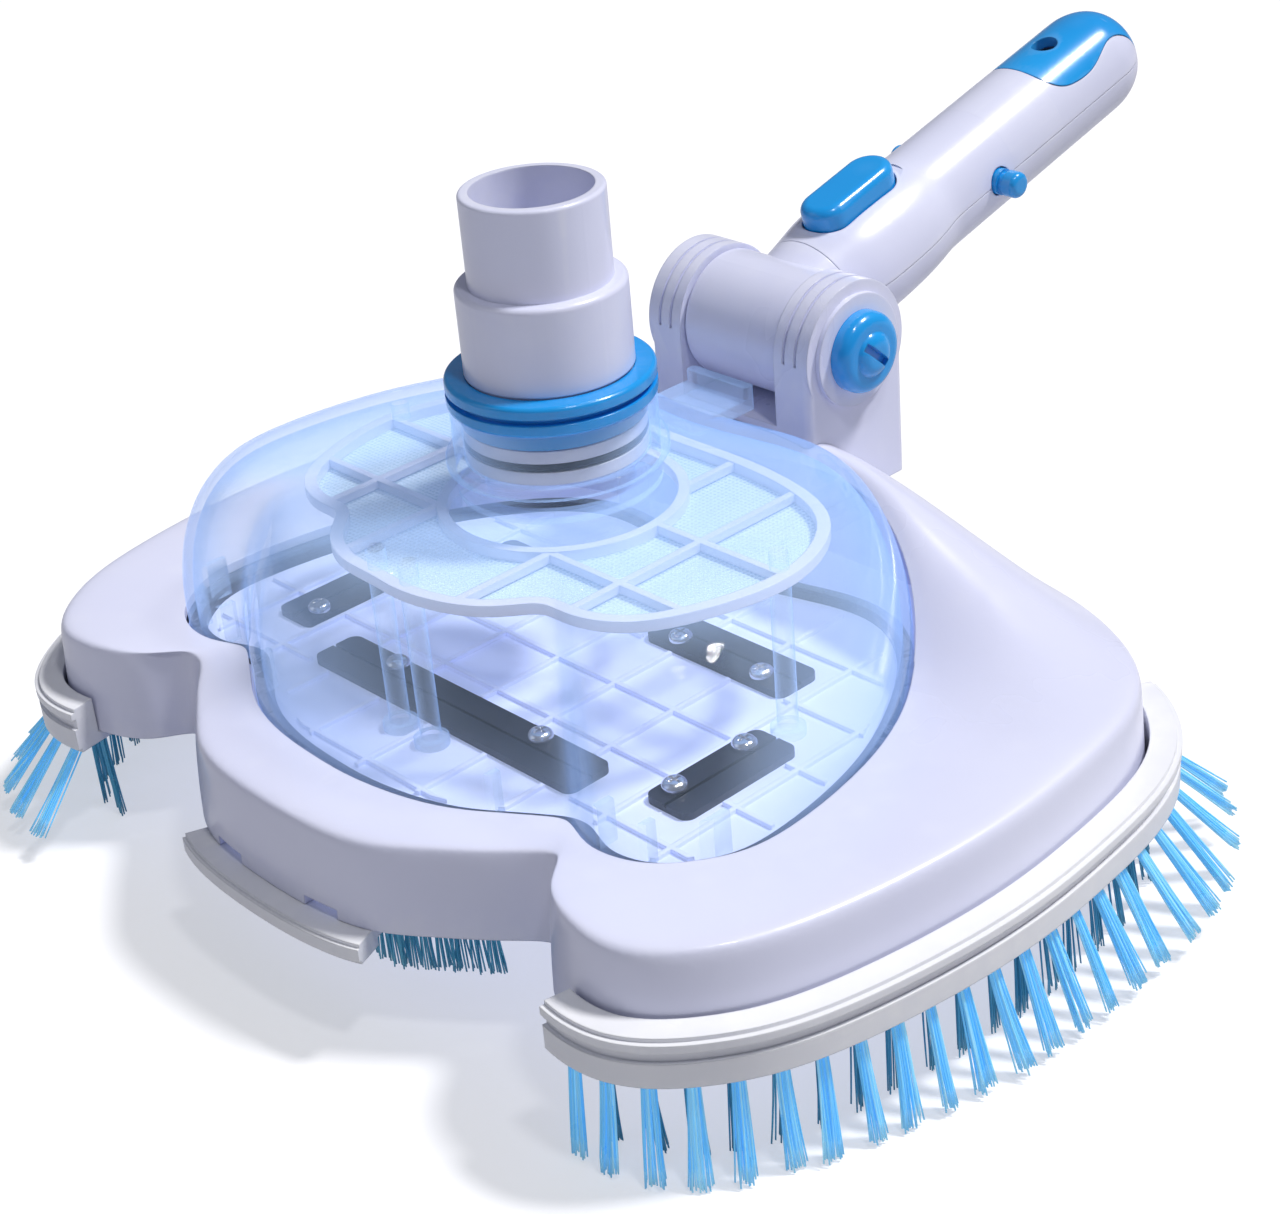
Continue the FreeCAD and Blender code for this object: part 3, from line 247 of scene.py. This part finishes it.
# %% Function: moulded plastic
def moulded_plastic(name, fresh, deep, rough=0.3, coat=0.25, grain=0.04, wear=0.35,
                    dust=0.25, edge=0.5, milky=0.0, glow=0.0):
    paint = bpy.data.materials.new(name)
    paint.use_nodes = True
    tree = paint.node_tree
    shader = tree.nodes["Principled BSDF"]
    shader.inputs["Coat Weight"].default_value = coat
    shader.inputs["Coat Roughness"].default_value = 0.12
    shader.inputs["IOR"].default_value = 1.5
    shader.inputs["Subsurface Weight"].default_value = milky
    shader.inputs["Subsurface Radius"].default_value = (0.9, 0.9, 1.0)
    shader.inputs["Subsurface Scale"].default_value = 2 * millimetre
    grain_node = place_group(tree, GRAIN)
    scratch_node = place_group(tree, SCRATCHES, Amount=wear)
    edge_node = place_group(tree, EDGES, Amount=wear)
    dust_node = place_group(tree, DUST, Amount=dust)
    pale = [min(1.0, c * 0.6 + 0.4) for c in fresh]
    colour = add(tree, "ShaderNodeMix", data_type="RGBA")
    worn = add(tree, "ShaderNodeMix", data_type="RGBA")
    colour.inputs[6].default_value = (*deep, 1.0)
    colour.inputs[7].default_value = (*fresh, 1.0)
    worn.inputs[7].default_value = (*pale, 1.0)
    pale_mask = add(tree, "ShaderNodeMath", operation="ADD", use_clamp=True)
    tree.links.new(grain_node.outputs["Tone"], colour.inputs[0])
    tree.links.new(colour.outputs[2], worn.inputs[6])
    tree.links.new(edge_node.outputs["Mask"], pale_mask.inputs[0])
    tree.links.new(dust_node.outputs["Mask"], pale_mask.inputs[1])
    tree.links.new(pale_mask.outputs[0], worn.inputs[0])
    tree.links.new(worn.outputs[2], shader.inputs["Base Color"])
    # Emission at strength glow is painted light; it stays off unless glow is given.
    tree.links.new(worn.outputs[2], shader.inputs["Emission Color"])
    shader.inputs["Emission Strength"].default_value = glow
    dull = add(tree, "ShaderNodeMath", operation="MULTIPLY_ADD")
    dull.inputs[1].default_value = 0.09
    dull.inputs[2].default_value = rough - 0.045
    duller = add(tree, "ShaderNodeMath", operation="MULTIPLY_ADD", use_clamp=True)
    duller.inputs[1].default_value = 0.22
    tree.links.new(grain_node.outputs["Tone"], dull.inputs[0])
    tree.links.new(scratch_node.outputs["Mask"], duller.inputs[0])
    tree.links.new(dull.outputs[0], duller.inputs[2])
    tree.links.new(duller.outputs[0], shader.inputs["Roughness"])
    height = add(tree, "ShaderNodeMath", operation="MULTIPLY_ADD")
    height.inputs[1].default_value = -0.6
    tree.links.new(scratch_node.outputs["Mask"], height.inputs[0])
    tree.links.new(grain_node.outputs["Height"], height.inputs[2])
    rounded = add(tree, "ShaderNodeBevel", {"Radius": edge * millimetre}, samples=4)
    bump = add(tree, "ShaderNodeBump", {"Strength": grain, "Distance": 0.3 * millimetre})
    wire(tree, rounded, "Normal", bump, "Normal")
    tree.links.new(height.outputs[0], bump.inputs["Height"])
    wire(tree, bump, "Normal", shader, "Normal")
    return paint


finishes = {
    "white_abs": moulded_plastic("white moulding", (0.74, 0.76, 0.94), (0.69, 0.71, 0.91),
                                 rough=0.30, coat=0.30, dust=0.2),
    "bumper_white": moulded_plastic("soft white bumper", (0.82, 0.83, 0.88),
                                    (0.76, 0.77, 0.84), rough=0.42, coat=0.08, grain=0.10,
                                    wear=0.6, milky=0.15),
    "azure_plastic": moulded_plastic("azure moulding", (0.010, 0.36, 0.86),
                                     (0.006, 0.30, 0.78), rough=0.24, coat=0.4, wear=0.15,
                                     dust=0.08),
}
print("plastics:", sorted(finishes))

# %% [markdown]
# ## Clear blue dome
# The dome is clear plastic with a blue dye. Looking straight through the thin top it is
# almost colourless; looking along the wall the light crosses far more plastic, so the rim
# and the steep flanks turn deep blue. True glass with refraction could do that, but a thin
# moulded wall barely bends the view, and the pieces inside must stay easy to read. So the
# Alpha follows Layer Weight: thin in the middle, dense at the edge. Light Path tells shadow
# and bounced rays apart; they pass almost freely, because a clear moulding throws hardly
# any shadow. A little emission in the same colour is a painted glow: it brightens the
# walls, standing for light caught inside the dyed wall that leaves it again.

# %% Clear plastic
def clear_plastic(name, pale, deep, thin, thick, glow, rough=0.04):
    paint = bpy.data.materials.new(name)
    paint.use_nodes = True
    tree = paint.node_tree
    shader = tree.nodes["Principled BSDF"]
    shader.inputs["Roughness"].default_value = rough
    shader.inputs["IOR"].default_value = 1.5
    shader.inputs["Coat Weight"].default_value = 0.5
    shader.inputs["Coat Roughness"].default_value = 0.03
    # glow is a painted glow: emission in the wall's own blue that brightens the dome
    shader.inputs["Emission Strength"].default_value = glow
    slant = add(tree, "ShaderNodeLayerWeight", {"Blend": 0.35})
    colour = add(tree, "ShaderNodeMix", data_type="RGBA")
    colour.inputs[6].default_value = (*pale, 1.0)
    colour.inputs[7].default_value = (*deep, 1.0)
    density = add(tree, "ShaderNodeMapRange",
                  {"From Min": 0.05, "From Max": 0.85, "To Min": thin, "To Max": thick})
    grain_node = place_group(tree, GRAIN, Fine_Scale=140.0, Broad_Scale=18.0)
    dust_node = place_group(tree, DUST, Amount=0.12)
    cover = add(tree, "ShaderNodeMath", operation="ADD", use_clamp=True)
    ray = add(tree, "ShaderNodeLightPath")
    dim_ray = add(tree, "ShaderNodeMath", operation="MAXIMUM")
    soft = add(tree, "ShaderNodeMapRange", {"To Min": 1.0, "To Max": 0.06})
    seen = add(tree, "ShaderNodeMath", operation="MULTIPLY")
    bump = add(tree, "ShaderNodeBump", {"Strength": 0.05, "Distance": 0.4 * millimetre})
    tree.links.new(slant.outputs["Facing"], colour.inputs[0])
    tree.links.new(colour.outputs[2], shader.inputs["Base Color"])
    tree.links.new(colour.outputs[2], shader.inputs["Emission Color"])
    wire(tree, slant, "Facing", density, "Value")
    tree.links.new(density.outputs["Result"], cover.inputs[0])
    tree.links.new(dust_node.outputs["Mask"], cover.inputs[1])
    tree.links.new(ray.outputs["Is Shadow Ray"], dim_ray.inputs[0])
    tree.links.new(ray.outputs["Is Diffuse Ray"], dim_ray.inputs[1])
    tree.links.new(dim_ray.outputs[0], soft.inputs["Value"])
    tree.links.new(cover.outputs[0], seen.inputs[0])
    tree.links.new(soft.outputs["Result"], seen.inputs[1])
    tree.links.new(seen.outputs[0], shader.inputs["Alpha"])
    wire(tree, grain_node, "Height", bump, "Height")
    wire(tree, bump, "Normal", shader, "Normal")
    return paint


# 0.34 is the painted glow of the dome walls
finishes["clear_blue"] = clear_plastic("clear blue dome", (0.60, 0.76, 1.0),
                                       (0.12, 0.38, 1.0), 0.04, 0.62, 0.34)
print("made finish:", finishes["clear_blue"].name)

# %% [markdown]
# ## Filter mesh
# The screen under the dome is a woven mesh with holes of about a millimetre. Weaving it
# from real threads would take tens of thousands of faces for something seen through the
# dome, so two wave textures at right angles draw the threads and the Alpha opens the
# holes. The weave is a group of its own because it could serve any screen or net.

# %% Woven mesh
def woven_mesh():
    tree, given, out = new_group("woven mesh", {"Thread Scale": 300.0, "Thread Width": 0.5},
                                 ["Thread"])
    where = add(tree, "ShaderNodeTexCoord")
    threads = []
    for axis in ("X", "Y"):
        wave = add(tree, "ShaderNodeTexWave", wave_type="BANDS", bands_direction=axis)
        wire(tree, where, "Object", wave, "Vector")
        wire(tree, given, "Thread Scale", wave, "Scale")
        cut = add(tree, "ShaderNodeMath", operation="GREATER_THAN")
        tree.links.new(wave.outputs["Fac"], cut.inputs[0])
        tree.links.new(given.outputs["Thread Width"], cut.inputs[1])
        threads.append(cut)
    either = add(tree, "ShaderNodeMath", operation="MAXIMUM")
    tree.links.new(threads[0].outputs[0], either.inputs[0])
    tree.links.new(threads[1].outputs[0], either.inputs[1])
    tree.links.new(either.outputs[0], out.inputs["Thread"])
    return tree


WEAVE = woven_mesh()


def mesh_finish():
    paint = bpy.data.materials.new("pale filter mesh")
    paint.use_nodes = True
    tree = paint.node_tree
    shader = tree.nodes["Principled BSDF"]
    shader.inputs["Roughness"].default_value = 0.45
    weave = place_group(tree, WEAVE, Thread_Scale=260.0, Thread_Width=0.62)
    grain_node = place_group(tree, GRAIN, Broad_Scale=22.0)
    alpha = add(tree, "ShaderNodeMapRange", {"To Min": 0.42, "To Max": 0.82})
    colour = add(tree, "ShaderNodeMix", data_type="RGBA")
    colour.inputs[6].default_value = (0.60, 0.78, 0.92, 1.0)
    colour.inputs[7].default_value = (0.74, 0.88, 0.97, 1.0)
    bump = add(tree, "ShaderNodeBump", {"Strength": 0.3, "Distance": 0.2 * millimetre})
    ray = add(tree, "ShaderNodeLightPath")
    soft = add(tree, "ShaderNodeMapRange", {"To Min": 1.0, "To Max": 0.25})
    cover = add(tree, "ShaderNodeMath", operation="MULTIPLY")
    wire(tree, weave, "Thread", alpha, "Value")
    wire(tree, ray, "Is Shadow Ray", soft, "Value")
    tree.links.new(alpha.outputs["Result"], cover.inputs[0])
    tree.links.new(soft.outputs["Result"], cover.inputs[1])
    tree.links.new(cover.outputs[0], shader.inputs["Alpha"])
    tree.links.new(grain_node.outputs["Tone"], colour.inputs[0])
    tree.links.new(colour.outputs[2], shader.inputs["Base Color"])
    wire(tree, weave, "Thread", bump, "Height")
    wire(tree, bump, "Normal", shader, "Normal")
    return paint


finishes["screen_mesh"] = mesh_finish()
print("made finish:", finishes["screen_mesh"].name)

# %% [markdown]
# ## Rubber, steel and cast weight
# Rubber flaps are matt black with a dusty bloom; the screws are bright stainless steel with
# turning marks; the ballast blocks hidden in the wings are rough castings. Each reuses the
# shared groups with its own numbers.

# %% Rubber flaps and seals
def rubber():
    paint = bpy.data.materials.new("black rubber")
    paint.use_nodes = True
    tree = paint.node_tree
    shader = tree.nodes["Principled BSDF"]
    grain_node = place_group(tree, GRAIN, Fine_Scale=1500.0, Broad_Scale=60.0)
    dust_node = place_group(tree, DUST, Amount=0.2)
    colour = add(tree, "ShaderNodeMix", data_type="RGBA")
    colour.inputs[6].default_value = (0.004, 0.006, 0.016, 1.0)
    colour.inputs[7].default_value = (0.05, 0.07, 0.13, 1.0)
    rough = add(tree, "ShaderNodeMapRange", {"To Min": 0.42, "To Max": 0.62})
    bump = add(tree, "ShaderNodeBump", {"Strength": 0.2, "Distance": 0.2 * millimetre})
    tree.links.new(dust_node.outputs["Mask"], colour.inputs[0])
    tree.links.new(colour.outputs[2], shader.inputs["Base Color"])
    wire(tree, grain_node, "Tone", rough, "Value")
    wire(tree, rough, "Result", shader, "Roughness")
    wire(tree, grain_node, "Height", bump, "Height")
    wire(tree, bump, "Normal", shader, "Normal")
    return paint


finishes["black_rubber"] = rubber()
print("made finish:", finishes["black_rubber"].name)


# %% Screws and castings
def metal(name, bright, dark, smooth, rough, grain_scale, bump_size, metallic):
    paint = bpy.data.materials.new(name)
    paint.use_nodes = True
    tree = paint.node_tree
    shader = tree.nodes["Principled BSDF"]
    shader.inputs["Metallic"].default_value = metallic
    grain_node = place_group(tree, GRAIN, Fine_Scale=grain_scale, Broad_Scale=80.0)
    edge_node = place_group(tree, EDGES, Amount=0.7, Break_Up=400.0)
    colour = add(tree, "ShaderNodeMix", data_type="RGBA")
    colour.inputs[6].default_value = (*dark, 1.0)
    colour.inputs[7].default_value = (*bright, 1.0)
    mask = add(tree, "ShaderNodeMath", operation="MAXIMUM")
    spread = add(tree, "ShaderNodeMapRange", {"To Min": smooth, "To Max": rough})
    rounded = add(tree, "ShaderNodeBevel", {"Radius": 0.2 * millimetre}, samples=4)
    bump = add(tree, "ShaderNodeBump", {"Strength": bump_size, "Distance": 0.2 * millimetre})
    tree.links.new(grain_node.outputs["Tone"], mask.inputs[0])
    tree.links.new(edge_node.outputs["Mask"], mask.inputs[1])
    tree.links.new(mask.outputs[0], colour.inputs[0])
    tree.links.new(colour.outputs[2], shader.inputs["Base Color"])
    wire(tree, grain_node, "Tone", spread, "Value")
    wire(tree, spread, "Result", shader, "Roughness")
    wire(tree, rounded, "Normal", bump, "Normal")
    wire(tree, grain_node, "Height", bump, "Height")
    wire(tree, bump, "Normal", shader, "Normal")
    return paint


finishes["bright_steel"] = metal("stainless screws", (0.86, 0.87, 0.90), (0.60, 0.61, 0.64),
                                 0.12, 0.28, 1800.0, 0.08, 1.0)
finishes["cast_weight"] = metal("rough casting", (0.16, 0.16, 0.17), (0.06, 0.06, 0.065),
                                0.55, 0.8, 500.0, 0.7, 0.6)
print("made finishes: stainless screws, rough casting")

# %% [markdown]
# ## Brush nylon
# A filament is round, smooth nylon that lets a little light through. A little emission in
# its own colour is a painted glow that brightens it. No two strands in a tuft look alike,
# so each strand carries a random number in a colour attribute called
# `strand`; the material uses it to shift the shade, and makes the tips paler.

# %% Filament finish
def nylon(name, shade, tint, glow):
    paint = bpy.data.materials.new(name)
    paint.use_nodes = True
    tree = paint.node_tree
    shader = tree.nodes["Principled BSDF"]
    shader.inputs["Subsurface Weight"].default_value = 0.25
    shader.inputs["Subsurface Radius"].default_value = (0.4, 0.8, 1.0)
    shader.inputs["Subsurface Scale"].default_value = 0.6 * millimetre
    strand = add(tree, "ShaderNodeVertexColor", layer_name="strand")
    parts = add(tree, "ShaderNodeSeparateColor")
    grain_node = place_group(tree, GRAIN, Fine_Scale=2500.0, Broad_Scale=120.0)
    mixed = add(tree, "ShaderNodeMix", data_type="RGBA")
    mixed.inputs[6].default_value = (*shade, 1.0)
    mixed.inputs[7].default_value = (*tint, 1.0)
    tipped = add(tree, "ShaderNodeMix", data_type="RGBA")
    tipped.inputs[7].default_value = (*[min(1.0, c * 0.7 + 0.25) for c in tint], 1.0)
    rough = add(tree, "ShaderNodeMapRange", {"To Min": 0.26, "To Max": 0.42})
    bump = add(tree, "ShaderNodeBump", {"Strength": 0.1, "Distance": 0.1 * millimetre})
    tree.links.new(strand.outputs["Color"], parts.inputs["Color"])
    tree.links.new(parts.outputs["Red"], mixed.inputs[0])
    tree.links.new(mixed.outputs[2], tipped.inputs[6])
    tree.links.new(parts.outputs["Green"], tipped.inputs[0])
    tree.links.new(tipped.outputs[2], shader.inputs["Base Color"])
    tree.links.new(tipped.outputs[2], shader.inputs["Emission Color"])
    # glow is a painted glow that brightens the strands
    shader.inputs["Emission Strength"].default_value = glow
    wire(tree, grain_node, "Tone", rough, "Value")
    wire(tree, rough, "Result", shader, "Roughness")
    wire(tree, grain_node, "Height", bump, "Height")
    wire(tree, bump, "Normal", shader, "Normal")
    return paint


# 0.26 is the painted glow of the long tufts
SKY_NYLON = nylon("sky blue nylon", (0.16, 0.58, 0.98), (0.40, 0.80, 1.0),
                  0.26)
# A darker copy of the nylon: painted shade for the inner and front tufts that sit under the
# head, with a faint painted glow.
PAINTED_SHADE_NYLON = nylon("nylon in painted shade", (0.06, 0.32, 0.52), (0.14, 0.50, 0.70), 0.08)
finishes["blue_bristle"] = SKY_NYLON
finishes["teal_bristle"] = PAINTED_SHADE_NYLON
print("made filament finishes")

# %% [markdown]
# ## Dress the CAD pieces
# The record names a material slot for every piece, so the finishes go on by slot. Pieces
# keep their exact CAD shape; only the finish in their slot changes. The chamber floor is
# moulded like the shell, but its own bluer finish with a slight glow is painted light,
# standing for blue light trapped under the dome.

# %% Give every CAD piece its finish
slot_of = {entry["node"]: entry["material_slot"] for entry in frame["record"]["subparts"]}
for name, piece in nodes.items():
    piece.data.materials.clear()
    piece.data.materials.append(finishes[slot_of[name]])
# Painted blue light: a bluer copy of the white moulding with a glow, for the floor under the
# dome.
painted_blue_light_floor = moulded_plastic("chamber floor in painted blue light", (0.60, 0.68, 0.98),
                                (0.54, 0.62, 0.95), rough=0.34, coat=0.15, glow=0.30)
nodes["base_plate"].data.materials[0] = painted_blue_light_floor
print("dressed", len(nodes), "pieces with", len(finishes) + 1, "finishes")

# %% [markdown]
# ## Grow the brushes
# On the real head each tuft is a bundle of nylon strands folded into a hole. The CAD has
# one tapered block per tuft, which is right for weight and contact but looks like a comb.
# Here each block is read back as a root, a tip and a width, and a bundle of thin curved
# strands grows along it. A hair system would be quicker to set up, but real mesh strands
# can be exported and keep the same shape in every view.

# %% Read the tufts out of a CAD brush row
def tufts_of(node):
    """Root centre, tip centre and the two half widths at the tip of every tuft block."""
    shape = bmesh.new()
    shape.from_mesh(node.data)
    bmesh.ops.remove_doubles(shape, verts=shape.verts, dist=0.01 * millimetre)
    taken = set()
    found = []
    for first in shape.verts:
        if first in taken:
            continue
        taken.add(first)
        island, edge_of_search = [], [first]
        while edge_of_search:
            vert = edge_of_search.pop()
            island.append(node.matrix_world @ vert.co)
            for edge in vert.link_edges:
                other = edge.other_vert(vert)
                if other not in taken:
                    taken.add(other)
                    edge_of_search.append(other)
        island.sort(key=lambda point: point.z)
        tip, root = island[:4], island[-4:]
        tip_centre = sum(tip, Vector()) / 4
        root_centre = sum(root, Vector()) / 4
        sides = sorted(((a - tip[0]) for a in tip[1:]), key=lambda span: span.length)
        found.append((root_centre, tip_centre, sides[1] / 2, sides[0] / 2))
    shape.free()
    return found


rows = {name: tufts_of(nodes[name]) for name in nodes if name.startswith("bristles")}
print("tufts per row:", {name: len(tufts) for name, tufts in rows.items()})

# %% [markdown]
# ## One strand, then a bundle
# A strand is a thin three-sided tube that starts in the block's root, spreads towards the
# tip and bows a little, but never leaves the space its row fills. Three sides are enough
# for something about half a millimetre thick. The random seed is fixed, so the brush
# grows the same way every time.

# %% Strand settings
STRAND_R = 0.3 * millimetre
STRAND_STEPS = (0.0, 0.3, 0.6, 0.85, 1.0)       # places of the rings along a strand
STRAND_CORNERS = (0.0, 2.094, 4.189)            # angles of its three corners
ROOT_FILL = (0.62, 0.85)                        # share of the block used at the root
TIP_FILL = (1.1, 1.15)                          # and at the tip, where tufts fan out
TRIM = 0.07                                     # strands are cut a little unevenly
TIP_TAPER = 0.25
print("strand thickness in mm:", round(2 * STRAND_R / millimetre, 2))

# %% Grow one brush row
def grow_row(name, node_name, finish, per_tuft, thickness, bow, seed):
    chance = random.Random(seed)
    cloth = bmesh.new()
    shade = cloth.loops.layers.color.new("strand")
    low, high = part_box(node_name)
    for root, tip, half_wide, half_thin in rows[node_name]:
        length = (tip - root).length
        axis = (tip - root).normalized()
        lean = Vector([chance.gauss(0, 1) for _ in range(3)])
        lean = (lean - axis * lean.dot(axis)) * bow * length * 0.5
        for _ in range(per_tuft):
            u, v = chance.uniform(-1, 1), chance.uniform(-1, 1)
            start = root + half_wide * u * ROOT_FILL[0] + half_thin * v * ROOT_FILL[1]
            finish_at = tip + half_wide * u * TIP_FILL[0] + half_thin * v * TIP_FILL[1]
            finish_at -= axis * chance.uniform(0.0, TRIM) * length
            sway = Vector([chance.gauss(0, 1) for _ in range(3)])
            sway = (sway - axis * sway.dot(axis)) * bow * length * 0.35 + lean
            side = axis.orthogonal().normalized()
            other = axis.cross(side)
            tone = chance.random()
            rings = []
            for step in STRAND_STEPS:
                centre = start.lerp(finish_at, step) + sway * step * step
                centre = Vector([min(max(at, near + thickness), far - thickness)
                                 for at, near, far in zip(centre, low, high)])
                radius = thickness * (1.0 - TIP_TAPER * step)
                rings.append([cloth.verts.new(centre
                                              + side * radius * math.cos(a)
                                              + other * radius * math.sin(a))
                              for a in STRAND_CORNERS])
            for at in range(len(STRAND_STEPS) - 1):
                near, far = rings[at], rings[at + 1]
                for k in range(3):
                    face = cloth.faces.new((near[k], near[(k + 1) % 3],
                                            far[(k + 1) % 3], far[k]))
                    face.smooth = True
                    for loop in face.loops:
                        end = 0.5 if at == len(STRAND_STEPS) - 2 else 0.0
                        loop[shade] = (tone, end, 0.0, 1.0)
            cap = cloth.faces.new(rings[-1])
            for loop in cap.loops:
                loop[shade] = (tone, 1.0, 0.0, 1.0)
    mesh = bpy.data.meshes.new(name)
    cloth.to_mesh(mesh)
    cloth.free()
    brush = bpy.data.objects.new(name, mesh)
    bpy.context.scene.collection.objects.link(brush)
    mesh.materials.append(finish)
    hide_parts(node_name)
    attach(brush, "head")
    return brush


grown = [
    grow_row("long_tufts_right", "bristles_outer_right", SKY_NYLON, 30, STRAND_R, 0.035, 11),
    grow_row("long_tufts_left", "bristles_outer_left", SKY_NYLON, 30, STRAND_R, 0.05, 12),
    grow_row("inner_tufts_right", "bristles_inner_right", PAINTED_SHADE_NYLON, 14, STRAND_R, 0.03, 13),
    grow_row("inner_tufts_left", "bristles_inner_left", PAINTED_SHADE_NYLON, 14, STRAND_R, 0.03, 14),
    grow_row("short_front_tufts", "bristles_front", PAINTED_SHADE_NYLON, 12, STRAND_R, 0.05, 15),
]
print("strand faces:", sum(len(brush.data.polygons) for brush in grown))

# %% [markdown]
# ## Studio: floor, sky and lights
# A pale floor and a pale sky give the clean catalogue background. Both are brighter to the
# eye than they are as light sources, so the background stays white while the front walls
# keep their shade. The key light is high and behind the tool, so the tops shine and the
# front walls fall into soft lavender shade; a large cool panel from the front left only
# lifts that shade. One sharp lamp would be simpler, but wide lights give the long smooth
# highlights that show off moulded plastic.

# %% Pale floor
FLOOR_SPAN = 6.0            # metres
FLOOR_GLOW = 0.5            # extra brightness of the floor for the eye only
SKY_LIGHT = 0.18            # what the sky gives to the scene
SKY_SEEN = 1.0              # what the eye sees of it
bpy.ops.mesh.primitive_plane_add(size=FLOOR_SPAN)
floor = bpy.context.object
floor.name = "studio_floor"
floor_paint = bpy.data.materials.new("pale studio floor")
floor_paint.use_nodes = True
floor_shader = floor_paint.node_tree.nodes["Principled BSDF"]
floor_shader.inputs["Base Color"].default_value = (0.56, 0.56, 0.58, 1.0)
floor_shader.inputs["Roughness"].default_value = 0.9
floor_shader.inputs["Specular IOR Level"].default_value = 0.1
floor_shader.inputs["Emission Color"].default_value = (0.97, 0.98, 1.0, 1.0)
seen_by = add(floor_paint.node_tree, "ShaderNodeLightPath")
glow = add(floor_paint.node_tree, "ShaderNodeMapRange", {"To Min": 0.0, "To Max": FLOOR_GLOW})
wire(floor_paint.node_tree, seen_by, "Is Camera Ray", glow, "Value")
wire(floor_paint.node_tree, glow, "Result", floor_shader, "Emission Strength")
floor.data.materials.append(floor_paint)
print("floor laid")


# %% Sky and lamps
def aim(thing, target):
    """Turn a lamp so that it shines at target."""
    way = Vector(target) - thing.location
    thing.rotation_euler = way.to_track_quat("-Z", "Y").to_euler()


def panel(name, place, target, size, watts, colour):
    data = bpy.data.lights.new(name, "AREA")
    data.shape = "DISK"
    data.size = size
    data.energy = watts
    data.color = colour
    lamp = bpy.data.objects.new(name, data)
    bpy.context.scene.collection.objects.link(lamp)
    lamp.location = place
    aim(lamp, target)
    return lamp


sky = bpy.data.worlds.new("studio sky")
bpy.context.scene.world = sky
sky.use_nodes = True
backdrop = sky.node_tree.nodes["Background"]
backdrop.inputs["Color"].default_value = (0.86, 0.89, 1.0, 1.0)
seen_sky = add(sky.node_tree, "ShaderNodeLightPath")
strength = add(sky.node_tree, "ShaderNodeMapRange", {"To Min": SKY_LIGHT, "To Max": SKY_SEEN})
wire(sky.node_tree, seen_sky, "Is Camera Ray", strength, "Value")
wire(sky.node_tree, strength, "Result", backdrop, "Strength")

middle = (0.0, 0.02, 0.06)
sun_data = bpy.data.lights.new("high sun", "SUN")
sun_data.energy = 2.9
sun_data.angle = math.radians(9.0)
sun_data.color = (1.0, 0.985, 0.96)
sun = bpy.data.objects.new("high sun", sun_data)
bpy.context.scene.collection.objects.link(sun)
sun.location = (0.55, 0.75, 1.6)
aim(sun, middle)
panel("cool front panel", (-0.9, -1.4, 0.9), middle, 1.2, 2.0, (0.85, 0.9, 1.0))
panel("top glint", (0.5, -0.1, 1.1), (0.03, -0.02, 0.09), 0.12, 2.2, (1.0, 1.0, 1.0))

# %% [markdown]
# ## Camera
# The camera stands in front of the right wing and looks down on the head with a longish
# lens, slightly rolled. Its place, turn and focal length are plain numbers, so the view can
# be set again exactly.

# %% Camera
view_data = bpy.data.cameras.new("catalogue view")
view_camera = bpy.data.objects.new("catalogue view", view_data)
bpy.context.scene.collection.objects.link(view_camera)
turn, tilt, roll = math.radians(-48.6), math.radians(28.7), math.radians(-5.0)
ahead = Vector((math.sin(turn) * math.cos(tilt), math.cos(turn) * math.cos(tilt),
                -math.sin(tilt)))
level = Vector((math.cos(turn), -math.sin(turn), 0.0))
upward = level.cross(ahead)
right = math.cos(roll) * level + math.sin(roll) * upward
overhead = -math.sin(roll) * level + math.cos(roll) * upward
stand = Matrix((right, overhead, -ahead)).transposed().to_4x4()
stand.translation = Vector((0.3779, -0.3113, 0.3223))
view_camera.matrix_world = stand
view_data.sensor_width = 36.0
view_data.lens = 67.56
view_data.shift_x = -0.0045
view_data.clip_start = 0.01
bpy.context.scene.camera = view_camera
bpy.context.scene.view_settings.view_transform = "Standard"
print("camera at", tuple(round(c, 4) for c in view_camera.location))
